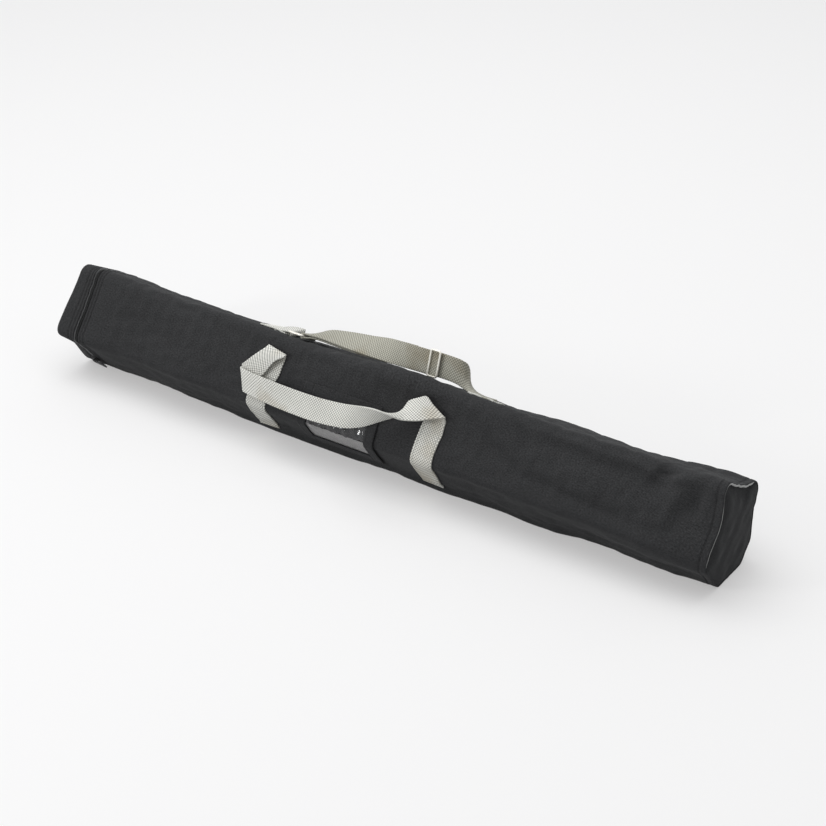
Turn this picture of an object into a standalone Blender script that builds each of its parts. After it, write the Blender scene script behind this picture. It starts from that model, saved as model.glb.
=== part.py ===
"""A padded carry bag with a telescopic boom pole packed inside it.

Metres, +Z up. The bag lies along X with its zipped lid at -X, leans back on its
lower rear edge, and rests on the flat that its weight presses into the base.
"""
import math

import bpy
from mathutils import Matrix, Vector

# Bag length and the rolled section it is sewn to
BAG_LENGTH = 0.958
FACE_HEIGHT = 0.096
TOP_DEPTH = 0.090
ROLL = math.radians(30)
FRONT_LIFT = 0.057
BACK_LIFT = 0.024
BASE_FRONT_Y = 0.044
BASE_WIDTH = 0.060
FRONT_BEND = 0.035
TOP_FRONT_BEND = 0.014
TOP_BACK_BEND = 0.020
BACK_BEND = 0.012
BASE_BACK_BEND = 0.010
BASE_FRONT_BEND = 0.020
SHARPEST_BEND = 0.0015
ARC_STEPS = 5
WELD_DISTANCE = 0.00001

# Sewn layers
GAP = 0.0003
SHELL_WALL = 0.0015
FOAM_WALL = 0.0040
PANEL_WALL = 0.0015
BOARD_WALL = 0.0025
PIPING_WALL = 0.0022
PIPING_WIDTH = 0.0030
SEAM_INSET = 0.0010

# Lid and zip
LID_DEPTH = 0.0300
COIL_HALF = 0.0030
COIL_HEIGHT = 0.0023
COIL_SINK = 0.0002
TAPE_WIDTH = 0.0130
TAPE_WALL = 0.0008
HINGE_STANDOFF = 0.0010
SLIDER_LENGTH = 0.012
SLIDER_WIDTH = 0.009
SLIDER_NOSE = 0.0045
SLIDER_HEIGHT = 0.0034
SLIDER_RISE = 0.024
PULL_LENGTH = 0.040
PULL_WIDTH = 0.007
PULL_WALL = 0.0014
PULL_EYE_LENGTH = 0.0047
PULL_EYE_WIDTH = 0.0028
PULL_TILT = math.radians(8)

# Webbing
WEB_WIDTH = 0.030
WEB_WALL = 0.0018
LEG_LEFT_X = -0.150
LEG_RIGHT_X = 0.103
LEG_TOP = 0.076
LEG_TAIL = 0.030
LOOP_LOW = 0.008
LOOP_HIGH = 0.074
LOOP_STANDOFF = 0.0065
LOOP_CORNER = 0.012
LOOP_PIVOT = 0.003

# Label pocket, sewn round the front bend
POCKET_LEFT_X = -0.084
POCKET_RIGHT_X = 0.032
POCKET_TOP = 0.050
POCKET_TAIL = 0.022
CARD_WALL = 0.0006
WINDOW_WALL = 0.0005
PATCH_WALL = 0.0010
WINDOW_MARGIN = 0.014
WINDOW_TOP = 0.026
WINDOW_TAIL = 0.010
WINDOW_CUT_REACH = 0.010

# Shoulder strap on the top face
STRAP_INSET = 0.030
PATCH_LEFT_X = (-0.185, -0.142)
PATCH_RIGHT_X = (0.128, 0.165)
RING_X = (-0.1395, -0.1185)
RING_SPAN = WEB_WIDTH + 0.006
RING_WIRE = 0.0016
RING_HEIGHT = 0.0045
STRAP_X = (-0.113, 0.124)
STRAP_HEIGHT = 0.0100
STRAP_PIVOT = 0.0069
STRAP_TAPER = 0.030
STRAP_DIP = 0.0033
STRAP_LAYERS = 0.0045
GLIDE_X = (0.064, 0.078)
GLIDE_OVERHANG = 0.0020
GLIDE_WIRE = 0.0013

# Boom pole
POLE_Y = 0.074
POLE_BUTT_ROOM = 0.0365
POLE_TIP_ROOM = 0.0770
GRIP_RADIUS = 0.0200
GRIP_LENGTH = 0.300
COLLAR_RADIUS = GRIP_RADIUS
COLLAR_LENGTH = 0.040
COLLAR_STEP = 0.0020
TUBE_RADII = (0.0170, 0.0142, 0.0114)
TUBE_WALL = 0.0013
SECTION_STEP = 0.046
COLLET_LENGTH = 0.024
COLLET_INSET = 0.006
TUBE_INNER_END = 0.060
CAP_LENGTH = 0.022
CAP_DEPTH = 0.011
CAP_CHAMFER = 0.0055
TIP_LENGTH = 0.013
STUD_RADIUS = 0.0047
STUD_LENGTH = 0.013
ROUND_STEPS = 28

# Places that follow from the sizes above
X_END = BAG_LENGTH / 2 - PIPING_WALL - GAP
X_LEFT = -BAG_LENGTH / 2
X_ZIP = X_LEFT + LID_DEPTH
SHELL_EDGE = COIL_HALF + 2 * GAP
POLE_BUTT_X = X_END - POLE_BUTT_ROOM
POLE_TIP_X = X_ZIP + POLE_TIP_ROOM
LINER_INSET = SHELL_WALL + GAP
INNER_INSET = LINER_INSET + FOAM_WALL
UP_FACE = Vector((math.sin(ROLL), math.cos(ROLL)))
OUT_FACE = Vector((-math.cos(ROLL), math.sin(ROLL)))
DOWN_TOP = Vector((math.cos(ROLL), -math.sin(ROLL)))

FABRIC = ((0.030, 0.031, 0.033), 0.85, 0.0)
FOAM = ((0.090, 0.090, 0.095), 0.95, 0.0)
BOARD = ((0.200, 0.190, 0.175), 0.80, 0.0)
PIPING = ((0.420, 0.430, 0.430), 0.60, 0.0)
WEBBING = ((0.430, 0.445, 0.400), 0.85, 0.0)
ZIP = ((0.050, 0.050, 0.052), 0.50, 0.0)
NICKEL = ((0.600, 0.600, 0.590), 0.28, 1.0)
FILM = ((0.500, 0.510, 0.510), 0.12, 0.0)
CARD = ((0.380, 0.385, 0.385), 0.70, 0.0)
CARBON = ((0.025, 0.026, 0.028), 0.35, 0.0)
ALLOY = ((0.110, 0.110, 0.115), 0.35, 1.0)
NYLON = ((0.350, 0.345, 0.330), 0.50, 0.0)
RUBBER = ((0.020, 0.020, 0.021), 0.80, 0.0)
BRASS = ((0.600, 0.440, 0.200), 0.30, 1.0)


def clear_scene():
    """Remove whatever the file opened with."""
    for item in list(bpy.data.objects):
        bpy.data.objects.remove(item, do_unlink=True)


def make_collection(name):
    """Make a collection under the scene's own."""
    group = bpy.data.collections.new(name)
    bpy.context.scene.collection.children.link(group)
    return group


def dress(item, finish):
    """Give an object its own Principled material."""
    colour, roughness, metallic = finish
    material = bpy.data.materials.new(item.name + "_finish")
    material.use_nodes = True
    shader = material.node_tree.nodes["Principled BSDF"]
    shader.inputs["Base Color"].default_value = (*colour, 1.0)
    shader.inputs["Roughness"].default_value = roughness
    shader.inputs["Metallic"].default_value = metallic
    item.data.materials.append(material)


def place(name, data, matrix, finish, group):
    """Add an object to the bag at a place, with its finish."""
    item = bpy.data.objects.new(name, data)
    group.objects.link(item)
    item.matrix_world = matrix
    dress(item, finish)
    return item


def corner_points(inset):
    """Section corners and bends, moved inwards by inset, round from the rear top edge."""
    front = Vector((0.0, FRONT_LIFT))
    top_front = front + UP_FACE * FACE_HEIGHT
    top_back = top_front + DOWN_TOP * TOP_DEPTH
    back = Vector((top_back.x, BACK_LIFT))
    base_front = Vector((BASE_FRONT_Y, 0.0))
    base_back = Vector((BASE_FRONT_Y + BASE_WIDTH, 0.0))
    corners = [top_back, top_front, front, base_front, base_back, back]
    bends = [TOP_BACK_BEND, TOP_FRONT_BEND, FRONT_BEND, BASE_FRONT_BEND, BASE_BACK_BEND, BACK_BEND]
    moved = []
    for i, corner in enumerate(corners):
        before = (corner - corners[i - 1]).normalized()
        after = (corners[(i + 1) % len(corners)] - corner).normalized()
        inward_before = Vector((-before.y, before.x))
        inward_after = Vector((-after.y, after.x))
        bisector = (inward_before + inward_after).normalized()
        moved.append(corner + bisector * (inset / bisector.dot(inward_before)))
    return moved, [max(bend - inset, SHARPEST_BEND) for bend in bends]


def rounded(corners, bends, steps):
    """Corner points with each corner turned on its bend radius."""
    points = []
    for i, corner in enumerate(corners):
        before = (corner - corners[i - 1]).normalized()
        after = (corners[(i + 1) % len(corners)] - corner).normalized()
        turn = math.acos(max(-1.0, min(1.0, before.dot(after))))
        reach = bends[i] * math.tan(turn / 2)
        centre = corner - before * reach + Vector((-before.y, before.x)) * bends[i]
        start = corner - before * reach - centre
        for k in range(steps + 1):
            angle = turn * k / steps
            spun = Matrix.Rotation(angle, 2) @ start
            points.append(centre + spun)
    return points


def section(inset):
    """Closed section outline; the rear face is the edge that closes it."""
    corners, bends = corner_points(inset)
    return rounded(corners, bends, ARC_STEPS)


def front_wrap(standoff, rise, tail):
    """Line standing off the front face, from rise above the front bend down to tail under it."""
    corners, bends = corner_points(-standoff)
    front = corners[2]
    bend = bends[2]
    under = (corners[3] - front).normalized()
    down = -UP_FACE
    turn = math.acos(down.dot(under))
    reach = bend * math.tan(turn / 2)
    centre = front - down * reach + Vector((-down.y, down.x)) * bend
    start = front - down * reach - centre
    line = [front + UP_FACE * rise]
    for k in range(ARC_STEPS + 1):
        line.append(centre + Matrix.Rotation(turn * k / ARC_STEPS, 2) @ start)
    line.append(front + under * (reach + tail))
    return line


def band(outer, inner):
    """Closed outline between two open lines."""
    return list(outer) + list(reversed(inner))


def flat_curve(name, loops, half):
    """Filled 2D curve of one outline and any holes, with a half thickness."""
    curve = bpy.data.curves.new(name, "CURVE")
    curve.dimensions = "2D"
    curve.fill_mode = "BOTH"
    curve.extrude = half
    for loop in loops:
        spline = curve.splines.new("POLY")
        spline.points.add(len(loop) - 1)
        for slot, point in zip(spline.points, loop):
            slot.co = (point[0], point[1], 0.0, 1.0)
        spline.use_cyclic_u = True
    return curve


def along_x(middle):
    """Frame whose local X, Y and Z lie along world Y, Z and X."""
    turn = Matrix(((0, 0, 1, 0), (1, 0, 0, 0), (0, 1, 0, 0), (0, 0, 0, 1)))
    return Matrix.Translation((middle, 0.0, 0.0)) @ turn


def prism(name, loops, x_from, x_to, finish, group):
    """Outline in the section plane, pushed along the bag."""
    curve = flat_curve(name, loops, (x_to - x_from) / 2)
    return place(name, curve, along_x((x_from + x_to) / 2), finish, group)


def plate(name, loops, frame, low, high, finish, group):
    """Outline on a tilted face, between two heights above it."""
    curve = flat_curve(name, loops, (high - low) / 2)
    lift = Matrix.Translation((0.0, 0.0, (low + high) / 2))
    return place(name, curve, frame @ lift, finish, group)


def face_frame(origin, up, out):
    """Frame with local X along the bag, Y up the face and Z out of it."""
    rows = ((1, 0, 0, 0), (0, up.x, out.x, origin.x), (0, up.y, out.y, origin.y), (0, 0, 0, 1))
    return Matrix(rows)


def box_loop(x_from, x_to, low, high):
    """Rectangle as an outline."""
    return [(x_from, low), (x_to, low), (x_to, high), (x_from, high)]


def wire_loop(name, corners, radius, frame, finish, group):
    """Closed wire frame through its corners."""
    curve = bpy.data.curves.new(name, "CURVE")
    curve.dimensions = "3D"
    curve.bevel_depth = radius
    curve.bevel_resolution = 1
    spline = curve.splines.new("POLY")
    spline.points.add(len(corners) - 1)
    for slot, corner in zip(spline.points, corners):
        slot.co = (corner[0], corner[1], 0.0, 1.0)
    spline.use_cyclic_u = True
    return place(name, curve, frame, finish, group)


def turned(name, profile, closed, finish, group):
    """Profile of (radius, distance along the pole) turned round the pole's axis."""
    mesh = bpy.data.meshes.new(name)
    points = [(radius, 0.0, reach) for radius, reach in profile]
    edges = [(i, i + 1) for i in range(len(points) - 1)]
    if closed:
        edges.append((len(points) - 1, 0))
    mesh.from_pydata(points, edges, [])
    axis = Matrix.Translation((0.0, POLE_Y, pole_height())) @ Matrix.Rotation(math.pi / 2, 4, "Y")
    item = place(name, mesh, axis, finish, group)
    screw = item.modifiers.new("turn", "SCREW")
    screw.steps = ROUND_STEPS
    screw.render_steps = ROUND_STEPS
    screw.use_merge_vertices = True
    screw.merge_threshold = WELD_DISTANCE
    return item


def pole_height():
    """Height of the pole's axis, with the grip lying on the padding."""
    return INNER_INSET + GAP + max(GRIP_RADIUS, COLLAR_RADIUS)


def ring_profile(outer, inner, x_from, x_to):
    """Tube wall, down its outer side and back up its bore."""
    return [(outer, x_to), (outer, x_from), (inner, x_from), (inner, x_to)]


def build_shell(group):
    """Outer fabric, padding and the fixed end."""
    prism("bag_shell", [section(0), section(SHELL_WALL)], X_ZIP + SHELL_EDGE, X_END, FABRIC, group)
    liner_start = X_ZIP + SHELL_EDGE + TAPE_WIDTH + GAP
    board_back = X_END - PANEL_WALL - GAP - BOARD_WALL - GAP
    loops = [section(LINER_INSET), section(INNER_INSET)]
    prism("foam_liner", loops, liner_start, board_back, FOAM, group)
    inside = [section(LINER_INSET)]
    prism("end_panel", inside, X_END - PANEL_WALL, X_END, FABRIC, group)
    board_front = X_END - PANEL_WALL - GAP
    prism("end_board", inside, board_front - BOARD_WALL, board_front, BOARD, group)
    rim = [section(SEAM_INSET), section(SEAM_INSET + PIPING_WIDTH)]
    prism("end_piping", rim, X_END + GAP, X_END + GAP + PIPING_WALL, PIPING, group)


def build_lid(group):
    """Zipped lid: its face, its stiffener and the band round it."""
    panel_back = X_LEFT + PANEL_WALL
    prism("lid_panel", [section(0)], X_LEFT, panel_back, FABRIC, group)
    rim = [section(0), section(SHELL_WALL)]
    prism("lid_band", rim, panel_back + GAP, X_ZIP - SHELL_EDGE, FABRIC, group)
    board_start = panel_back + GAP
    prism("lid_board", [section(LINER_INSET)], board_start, board_start + BOARD_WALL, BOARD, group)


def build_zip(group):
    """Zip tapes, coils and the hinge strips that close the rear side."""
    coil = band(section(COIL_SINK), section(COIL_SINK + COIL_HEIGHT))
    tape = band(section(LINER_INSET), section(LINER_INSET + TAPE_WALL))
    rear = section(LINER_INSET)
    rear_y = rear[0].x
    rear_low = rear[-1].y + GAP
    rear_high = rear[0].y - GAP
    strip = box_loop(rear_y - TAPE_WALL, rear_y, rear_low, rear_high)
    for name, side in (("body", 1), ("lid", -1)):
        coil_ends = sorted((X_ZIP + side * GAP, X_ZIP + side * COIL_HALF))
        tape_near = X_ZIP + side * (COIL_HALF + GAP)
        tape_ends = sorted((tape_near, tape_near + side * TAPE_WIDTH))
        prism("zip_coil_" + name, [coil], *coil_ends, ZIP, group)
        prism("zip_tape_" + name, [tape], *tape_ends, ZIP, group)
        prism("hinge_strip_" + name, [strip], *tape_ends, FABRIC, group)


def under_frame():
    """Frame on the slope under the front bend, at the slider's place."""
    corners = corner_points(0)[0]
    up = (corners[2] - corners[3]).normalized()
    out = Vector((-up.y, up.x))
    return face_frame(corners[3] + up * SLIDER_RISE, up, out) @ Matrix.Translation((X_ZIP, 0, 0))


def build_slider(group):
    """Zip slider on the coil, and its pull lying along the bag."""
    half = SLIDER_LENGTH / 2
    side = SLIDER_WIDTH / 2
    nose = SLIDER_NOSE / 2
    outline = [(-side, -half), (side, -half), (side, nose), (nose, half), (-nose, half), (-side, nose)]
    frame = under_frame()
    plate("zip_slider", [outline], frame, GAP, GAP + SLIDER_HEIGHT, NICKEL, group)
    pivot = Matrix.Translation((0.0, 0.0, SLIDER_HEIGHT + 2 * GAP + PULL_WALL / 2))
    tilt = Matrix.Rotation(-PULL_TILT, 4, "Y")
    outline = box_loop(0.0, PULL_LENGTH, -PULL_WIDTH / 2, PULL_WIDTH / 2)
    eye_end = PULL_LENGTH - PULL_WIDTH + PULL_EYE_LENGTH
    eye = box_loop(PULL_LENGTH - PULL_WIDTH, eye_end, -PULL_EYE_WIDTH / 2, PULL_EYE_WIDTH / 2)
    half_wall = PULL_WALL / 2
    plate("zip_pull", [outline, eye], frame @ pivot @ tilt, -half_wall, half_wall, NICKEL, group)


def build_handle(group):
    """Two sewn webbing legs and the loose carrying loop between them."""
    outer = front_wrap(GAP + WEB_WALL, LEG_TOP, LEG_TAIL)
    inner = front_wrap(GAP, LEG_TOP, LEG_TAIL)
    half = WEB_WIDTH / 2
    for name, middle in (("left", LEG_LEFT_X), ("right", LEG_RIGHT_X)):
        prism("handle_leg_" + name, [band(outer, inner)], middle - half, middle + half, WEBBING, group)
    left = LEG_LEFT_X - half
    right = LEG_RIGHT_X + half
    inner_low = LOOP_LOW + WEB_WIDTH
    outline = [(left, LOOP_HIGH), (left, LOOP_LOW + LOOP_CORNER), (left + LOOP_CORNER, LOOP_LOW),
               (right - LOOP_CORNER, LOOP_LOW), (right, LOOP_LOW + LOOP_CORNER), (right, LOOP_HIGH),
               (right - WEB_WIDTH, LOOP_HIGH), (right - WEB_WIDTH, inner_low),
               (left + WEB_WIDTH, inner_low), (left + WEB_WIDTH, LOOP_HIGH)]
    frame = face_frame(corner_points(0)[0][2], UP_FACE, OUT_FACE)
    plate("handle_loop", [outline], frame, LOOP_STANDOFF, LOOP_STANDOFF + WEB_WALL, WEBBING, group)


def pocket_layer(low, high):
    """One layer of the pocket, between two heights off the front of the bag."""
    return band(front_wrap(high, POCKET_TOP, POCKET_TAIL), front_wrap(low, POCKET_TOP, POCKET_TAIL))


def build_pocket(group, cutters):
    """Label pocket: a card behind a clear window, under a sewn patch with an opening."""
    film_low = 2 * GAP + CARD_WALL
    film_high = film_low + WINDOW_WALL
    patch_low = film_high + GAP
    card = pocket_layer(GAP, GAP + CARD_WALL)
    film = pocket_layer(film_low, film_high)
    patch = pocket_layer(patch_low, patch_low + PATCH_WALL)
    inner_left = POCKET_LEFT_X + WINDOW_MARGIN / 2
    inner_right = POCKET_RIGHT_X - WINDOW_MARGIN / 2
    prism("id_card", [card], inner_left, inner_right, CARD, group)
    prism("id_window", [film], inner_left, inner_right, FILM, group)
    curve = prism("id_patch_blank", [patch], POCKET_LEFT_X, POCKET_RIGHT_X, FABRIC, group)
    panel = as_mesh(curve, "id_pocket_panel", FABRIC, group)
    high = front_wrap(WINDOW_CUT_REACH, WINDOW_TOP, WINDOW_TAIL)
    low = front_wrap(film_high, WINDOW_TOP, WINDOW_TAIL)
    opening_ends = (POCKET_LEFT_X + WINDOW_MARGIN, POCKET_RIGHT_X - WINDOW_MARGIN)
    opening = prism("window_blank", [band(high, low)], *opening_ends, FILM, cutters)
    cutter = as_mesh(opening, "window_cutter", FILM, cutters)
    cutter.hide_render = True
    cutter.display_type = "WIRE"
    cut = panel.modifiers.new("window", "BOOLEAN")
    cut.operation = "DIFFERENCE"
    cut.solver = "EXACT"
    cut.object = cutter


def as_mesh(curve_item, name, finish, group):
    """Turn a curve object into a closed mesh object at the same place."""
    view = bpy.context.evaluated_depsgraph_get()
    mesh = bpy.data.meshes.new_from_object(curve_item.evaluated_get(view))
    matrix = curve_item.matrix_world.copy()
    bpy.data.objects.remove(curve_item, do_unlink=True)
    mesh.materials.clear()
    mesh.name = name
    item = place(name, mesh, matrix, finish, group)
    weld = item.modifiers.new("weld", "WELD")
    weld.merge_threshold = WELD_DISTANCE
    return item


def build_strap(group):
    """Shoulder strap: sewn patches, the wire ring, the doubled webbing and its wire glide."""
    top_front = corner_points(0)[0][1]
    middle = top_front + DOWN_TOP * STRAP_INSET
    top = face_frame(middle, DOWN_TOP, UP_FACE)
    half = WEB_WIDTH / 2
    for name, ends in (("left", PATCH_LEFT_X), ("right", PATCH_RIGHT_X)):
        outline = box_loop(*ends, -half, half)
        plate("strap_patch_" + name, [outline], top, GAP, GAP + WEB_WALL, WEBBING, group)
    raised = top @ Matrix.Translation((0.0, 0.0, RING_HEIGHT))
    corners = box_loop(*RING_X, -RING_SPAN / 2, RING_SPAN / 2)
    wire_loop("strap_ring", corners, RING_WIRE, raised, NICKEL, group)
    upright = face_frame(middle, Vector((0.0, 1.0)), Vector((-1.0, 0.0)))
    low = STRAP_HEIGHT
    high = STRAP_HEIGHT + WEB_WIDTH
    start, end = STRAP_X
    outline = [(start, low), (end, low), (end, high - STRAP_DIP), (end - STRAP_TAPER, high),
               (start + STRAP_TAPER, high), (start, high - STRAP_DIP)]
    half_layers = STRAP_LAYERS / 2
    plate("strap_web", [outline], upright, -half_layers, half_layers, WEBBING, group)
    front = upright @ Matrix.Translation((0.0, 0.0, half_layers + GAP + GLIDE_WIRE))
    corners = box_loop(*GLIDE_X, low - GLIDE_OVERHANG + GLIDE_WIRE, high + GLIDE_OVERHANG)
    wire_loop("strap_glide", corners, GLIDE_WIRE, front, NICKEL, group)


def build_pole(group):
    """Three-section boom pole, closed, with its twist collars, grip, cap and threaded tip."""
    outer = TUBE_RADII[0]
    inner = TUBE_RADII[-1]
    mouths = [POLE_TIP_X + 2 * SECTION_STEP, POLE_TIP_X + SECTION_STEP, POLE_TIP_X]
    tube_back = POLE_BUTT_X - CAP_DEPTH
    names = ("pole_outer_tube", "pole_middle_tube", "pole_inner_tube")
    for i, name in enumerate(names):
        back = tube_back - i * TUBE_INNER_END
        wall = ring_profile(TUBE_RADII[i], TUBE_RADII[i] - TUBE_WALL, mouths[i], back)
        turned(name, wall, True, CARBON, group)
    for i in range(2):
        number = str(i + 1)
        mouth = mouths[i]
        grip_end = mouth + COLLAR_LENGTH - COLLET_INSET
        bore = TUBE_RADII[i] + GAP
        lip = TUBE_RADII[i + 1] + GAP
        face = mouth - COLLET_INSET
        inside = mouth - GAP
        rim = COLLAR_RADIUS - i * COLLAR_STEP
        collar = [(rim, grip_end), (rim, face), (lip, face), (lip, inside), (bore, inside), (bore, grip_end)]
        turned("lock_collar_" + number, collar, True, ALLOY, group)
        sleeve = ring_profile(TUBE_RADII[i] - TUBE_WALL - GAP, lip, mouth + GAP, mouth + COLLET_LENGTH)
        turned("lock_collet_" + number, sleeve, True, NYLON, group)
    grip_back = POLE_BUTT_X - CAP_LENGTH - GAP
    grip = ring_profile(GRIP_RADIUS, outer + GAP, grip_back - GRIP_LENGTH, grip_back)
    turned("pole_grip", grip, True, FOAM, group)
    cap = [(0.0, POLE_BUTT_X), (outer, POLE_BUTT_X), (GRIP_RADIUS, POLE_BUTT_X - CAP_CHAMFER),
           (GRIP_RADIUS, POLE_BUTT_X - CAP_LENGTH), (outer + GAP, POLE_BUTT_X - CAP_LENGTH),
           (outer + GAP, tube_back + GAP), (0.0, tube_back + GAP)]
    turned("pole_butt_cap", cap, False, RUBBER, group)
    root = POLE_TIP_X - GAP
    shoulder = root - TIP_LENGTH
    tip = [(0.0, root), (inner, root), (inner, shoulder), (STUD_RADIUS, shoulder),
           (STUD_RADIUS, shoulder - STUD_LENGTH), (0.0, shoulder - STUD_LENGTH)]
    turned("pole_tip_stud", tip, False, BRASS, group)


def pivot(name, spot, children, group):
    """Put an empty on a joint's axis and hang the pieces that turn or slide there on it."""
    empty = bpy.data.objects.new(name, None)
    group.objects.link(empty)
    empty.location = spot
    bpy.context.view_layer.update()
    for child in children:
        item = bpy.data.objects[child]
        item.parent = empty
        item.matrix_parent_inverse = empty.matrix_world.inverted()


def build_pivots(group):
    """Joint axes of the lid, the carrying loop, the strap and its ring."""
    corners = corner_points(0)[0]
    lid_pieces = ["lid_panel", "lid_band", "lid_board", "zip_coil_lid", "zip_tape_lid", "hinge_strip_lid"]
    pivot("lid_pivot", (X_ZIP, corners[0].x + HINGE_STANDOFF, corners[5].y), lid_pieces, group)
    swing = corners[2] + UP_FACE * (LOOP_HIGH + LOOP_PIVOT) + OUT_FACE * (LOOP_STANDOFF + WEB_WALL / 2)
    pivot("loop_pivot", (0.0, swing.x, swing.y), ["handle_loop"], group)
    middle = corners[1] + DOWN_TOP * STRAP_INSET
    pivot("strap_pivot", (0.0, middle.x, middle.y + STRAP_PIVOT), ["strap_web", "strap_glide"], group)
    bar = middle + UP_FACE * RING_HEIGHT
    pivot("ring_pivot", (RING_X[0], bar.x, bar.y), ["strap_ring"], group)


def centre_on_floor(group, cutters):
    """Move the model so that its box stands centred over the origin."""
    view = bpy.context.evaluated_depsgraph_get()
    spots = []
    for item in group.objects:
        if item.type == "EMPTY":
            continue
        solid = item.evaluated_get(view)
        mesh = bpy.data.meshes.new_from_object(solid)
        spots.extend(solid.matrix_world @ vertex.co for vertex in mesh.vertices)
        bpy.data.meshes.remove(mesh)
    lows = [min(spot[i] for spot in spots) for i in range(3)]
    highs = [max(spot[i] for spot in spots) for i in range(3)]
    carrier = bpy.data.objects.new("bag_frame", None)
    for item in list(group.objects) + list(cutters.objects):
        if item.parent is None:
            item.parent = carrier
    group.objects.link(carrier)
    carrier.location = (-(lows[0] + highs[0]) / 2, -(lows[1] + highs[1]) / 2, -lows[2])


def main():
    """Build every piece of the bag and the pole in it."""
    clear_scene()
    group = make_collection("boom_pole_bag")
    cutters = make_collection("cutters")
    build_shell(group)
    build_lid(group)
    build_zip(group)
    build_slider(group)
    build_handle(group)
    build_pocket(group, cutters)
    build_strap(group)
    build_pole(group)
    build_pivots(group)
    bpy.context.view_layer.update()
    centre_on_floor(group, cutters)


main()
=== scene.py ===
"""Looks of a padded carry bag for a telescopic boom pole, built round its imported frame.

Metres, +Z up. The bag lies along X with its zipped lid at -X. Places on its skin are given as x, the
distance along the bag, and c, the distance round the section from the middle of the front bend, which
grows up the front face, over the top and down the rear.
"""
import logging
import math
from dataclasses import dataclass, field
from enum import Enum

import bpy
import numpy as np
from mathutils import Matrix, Vector


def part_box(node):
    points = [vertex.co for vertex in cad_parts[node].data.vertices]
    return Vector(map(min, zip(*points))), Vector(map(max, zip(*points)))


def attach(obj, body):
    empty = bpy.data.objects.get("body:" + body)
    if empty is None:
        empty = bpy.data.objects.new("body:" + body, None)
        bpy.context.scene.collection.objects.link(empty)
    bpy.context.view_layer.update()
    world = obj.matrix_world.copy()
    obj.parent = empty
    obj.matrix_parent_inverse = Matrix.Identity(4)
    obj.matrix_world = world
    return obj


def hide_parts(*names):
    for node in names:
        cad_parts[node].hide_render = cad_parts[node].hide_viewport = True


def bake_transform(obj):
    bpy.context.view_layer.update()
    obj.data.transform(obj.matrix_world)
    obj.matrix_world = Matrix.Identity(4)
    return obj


LOG = logging.getLogger("carry_bag")
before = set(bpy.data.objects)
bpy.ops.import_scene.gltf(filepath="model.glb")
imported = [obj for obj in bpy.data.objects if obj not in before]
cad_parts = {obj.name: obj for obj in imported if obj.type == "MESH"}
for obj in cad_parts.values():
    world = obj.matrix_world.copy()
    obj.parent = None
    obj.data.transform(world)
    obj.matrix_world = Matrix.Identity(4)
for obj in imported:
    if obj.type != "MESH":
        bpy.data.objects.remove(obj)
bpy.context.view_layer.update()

# Section of the bag, as sewn and rolled back
FACE_HEIGHT = 0.096
TOP_DEPTH = 0.090
ROLL = math.radians(30)
FRONT_LIFT = 0.057
BACK_LIFT = 0.024
FLOOR_GAP = 0.0004
BASE_FRONT_Y = 0.044
BASE_WIDTH = 0.060
BENDS = (0.035, 0.014, 0.020, 0.012, 0.010, 0.020)

# Lengths along the bag
LID_FACE_X = -0.479
ZIP_X = -0.449
COIL_HALF = 0.003
CLOTH_EDGE = 0.0036
END_X = 0.4765
LINING_INSET = 0.0018
PADDING = 0.0042
TAPE_WIDTH = 0.013
TAPE_WALL = 0.0008
PULL_PIVOT_LIFT = 0.0027

# Rows of thread: place, size of a stitch along, across and off the cloth, and distance to the next
LID_STITCH_ROWS = (-0.4610, -0.4565)
BODY_STITCH_ROWS = (-0.4408, -0.4360, 0.4690)
SEAM_STITCH = (0.0024, 0.0007, 0.0006)
SEAM_STITCH_PITCH = 0.0033
WEB_STITCH = (0.0026, 0.0007, 0.0006)
WEB_STITCH_PITCH = 0.0036
WEB_STITCH_LIFT = 0.0024

# Webbing
WEB_WIDTH = 0.030
WEB_WALL = 0.0018
WEB_STEP = 0.0010
WEB_PITCH = 0.0038
WEB_RELIEF = 0.00016
LEG_LEFT_X = -0.149
LEG_RIGHT_X = 0.102
LEG_LEFT_LEAN = 0.010
LEG_RIGHT_LEAN = 0.003
LEG_TAIL_C = -0.050

# Camera of the photograph
CAMERA_SPOT = (1.1993, -1.6660, 1.2497)
CAMERA_AZIMUTH = math.radians(34.6)
CAMERA_ELEVATION = math.radians(30.0)
CAMERA_LENS = 83.5
SENSOR_WIDTH = 36.0

# Points round a wire and round a turned piece
WIRE_SIDES = 12
TURNED_SIDES = 64

AHEAD = np.array((1.0, 0.0, 0.0))

Array = np.ndarray
Point = tuple[float, float, float]
Item = bpy.types.Object
Socket = bpy.types.NodeSocket


class Weave(Enum):
    """Relief that is raised on a sheet's own geometry."""

    SMOOTH = "smooth"
    WEBBING = "webbing"


class Ends(Enum):
    """How the first and last row of a grid are closed."""

    OPEN = "open"
    FAN = "fan"
    STRIP = "strip"


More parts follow.
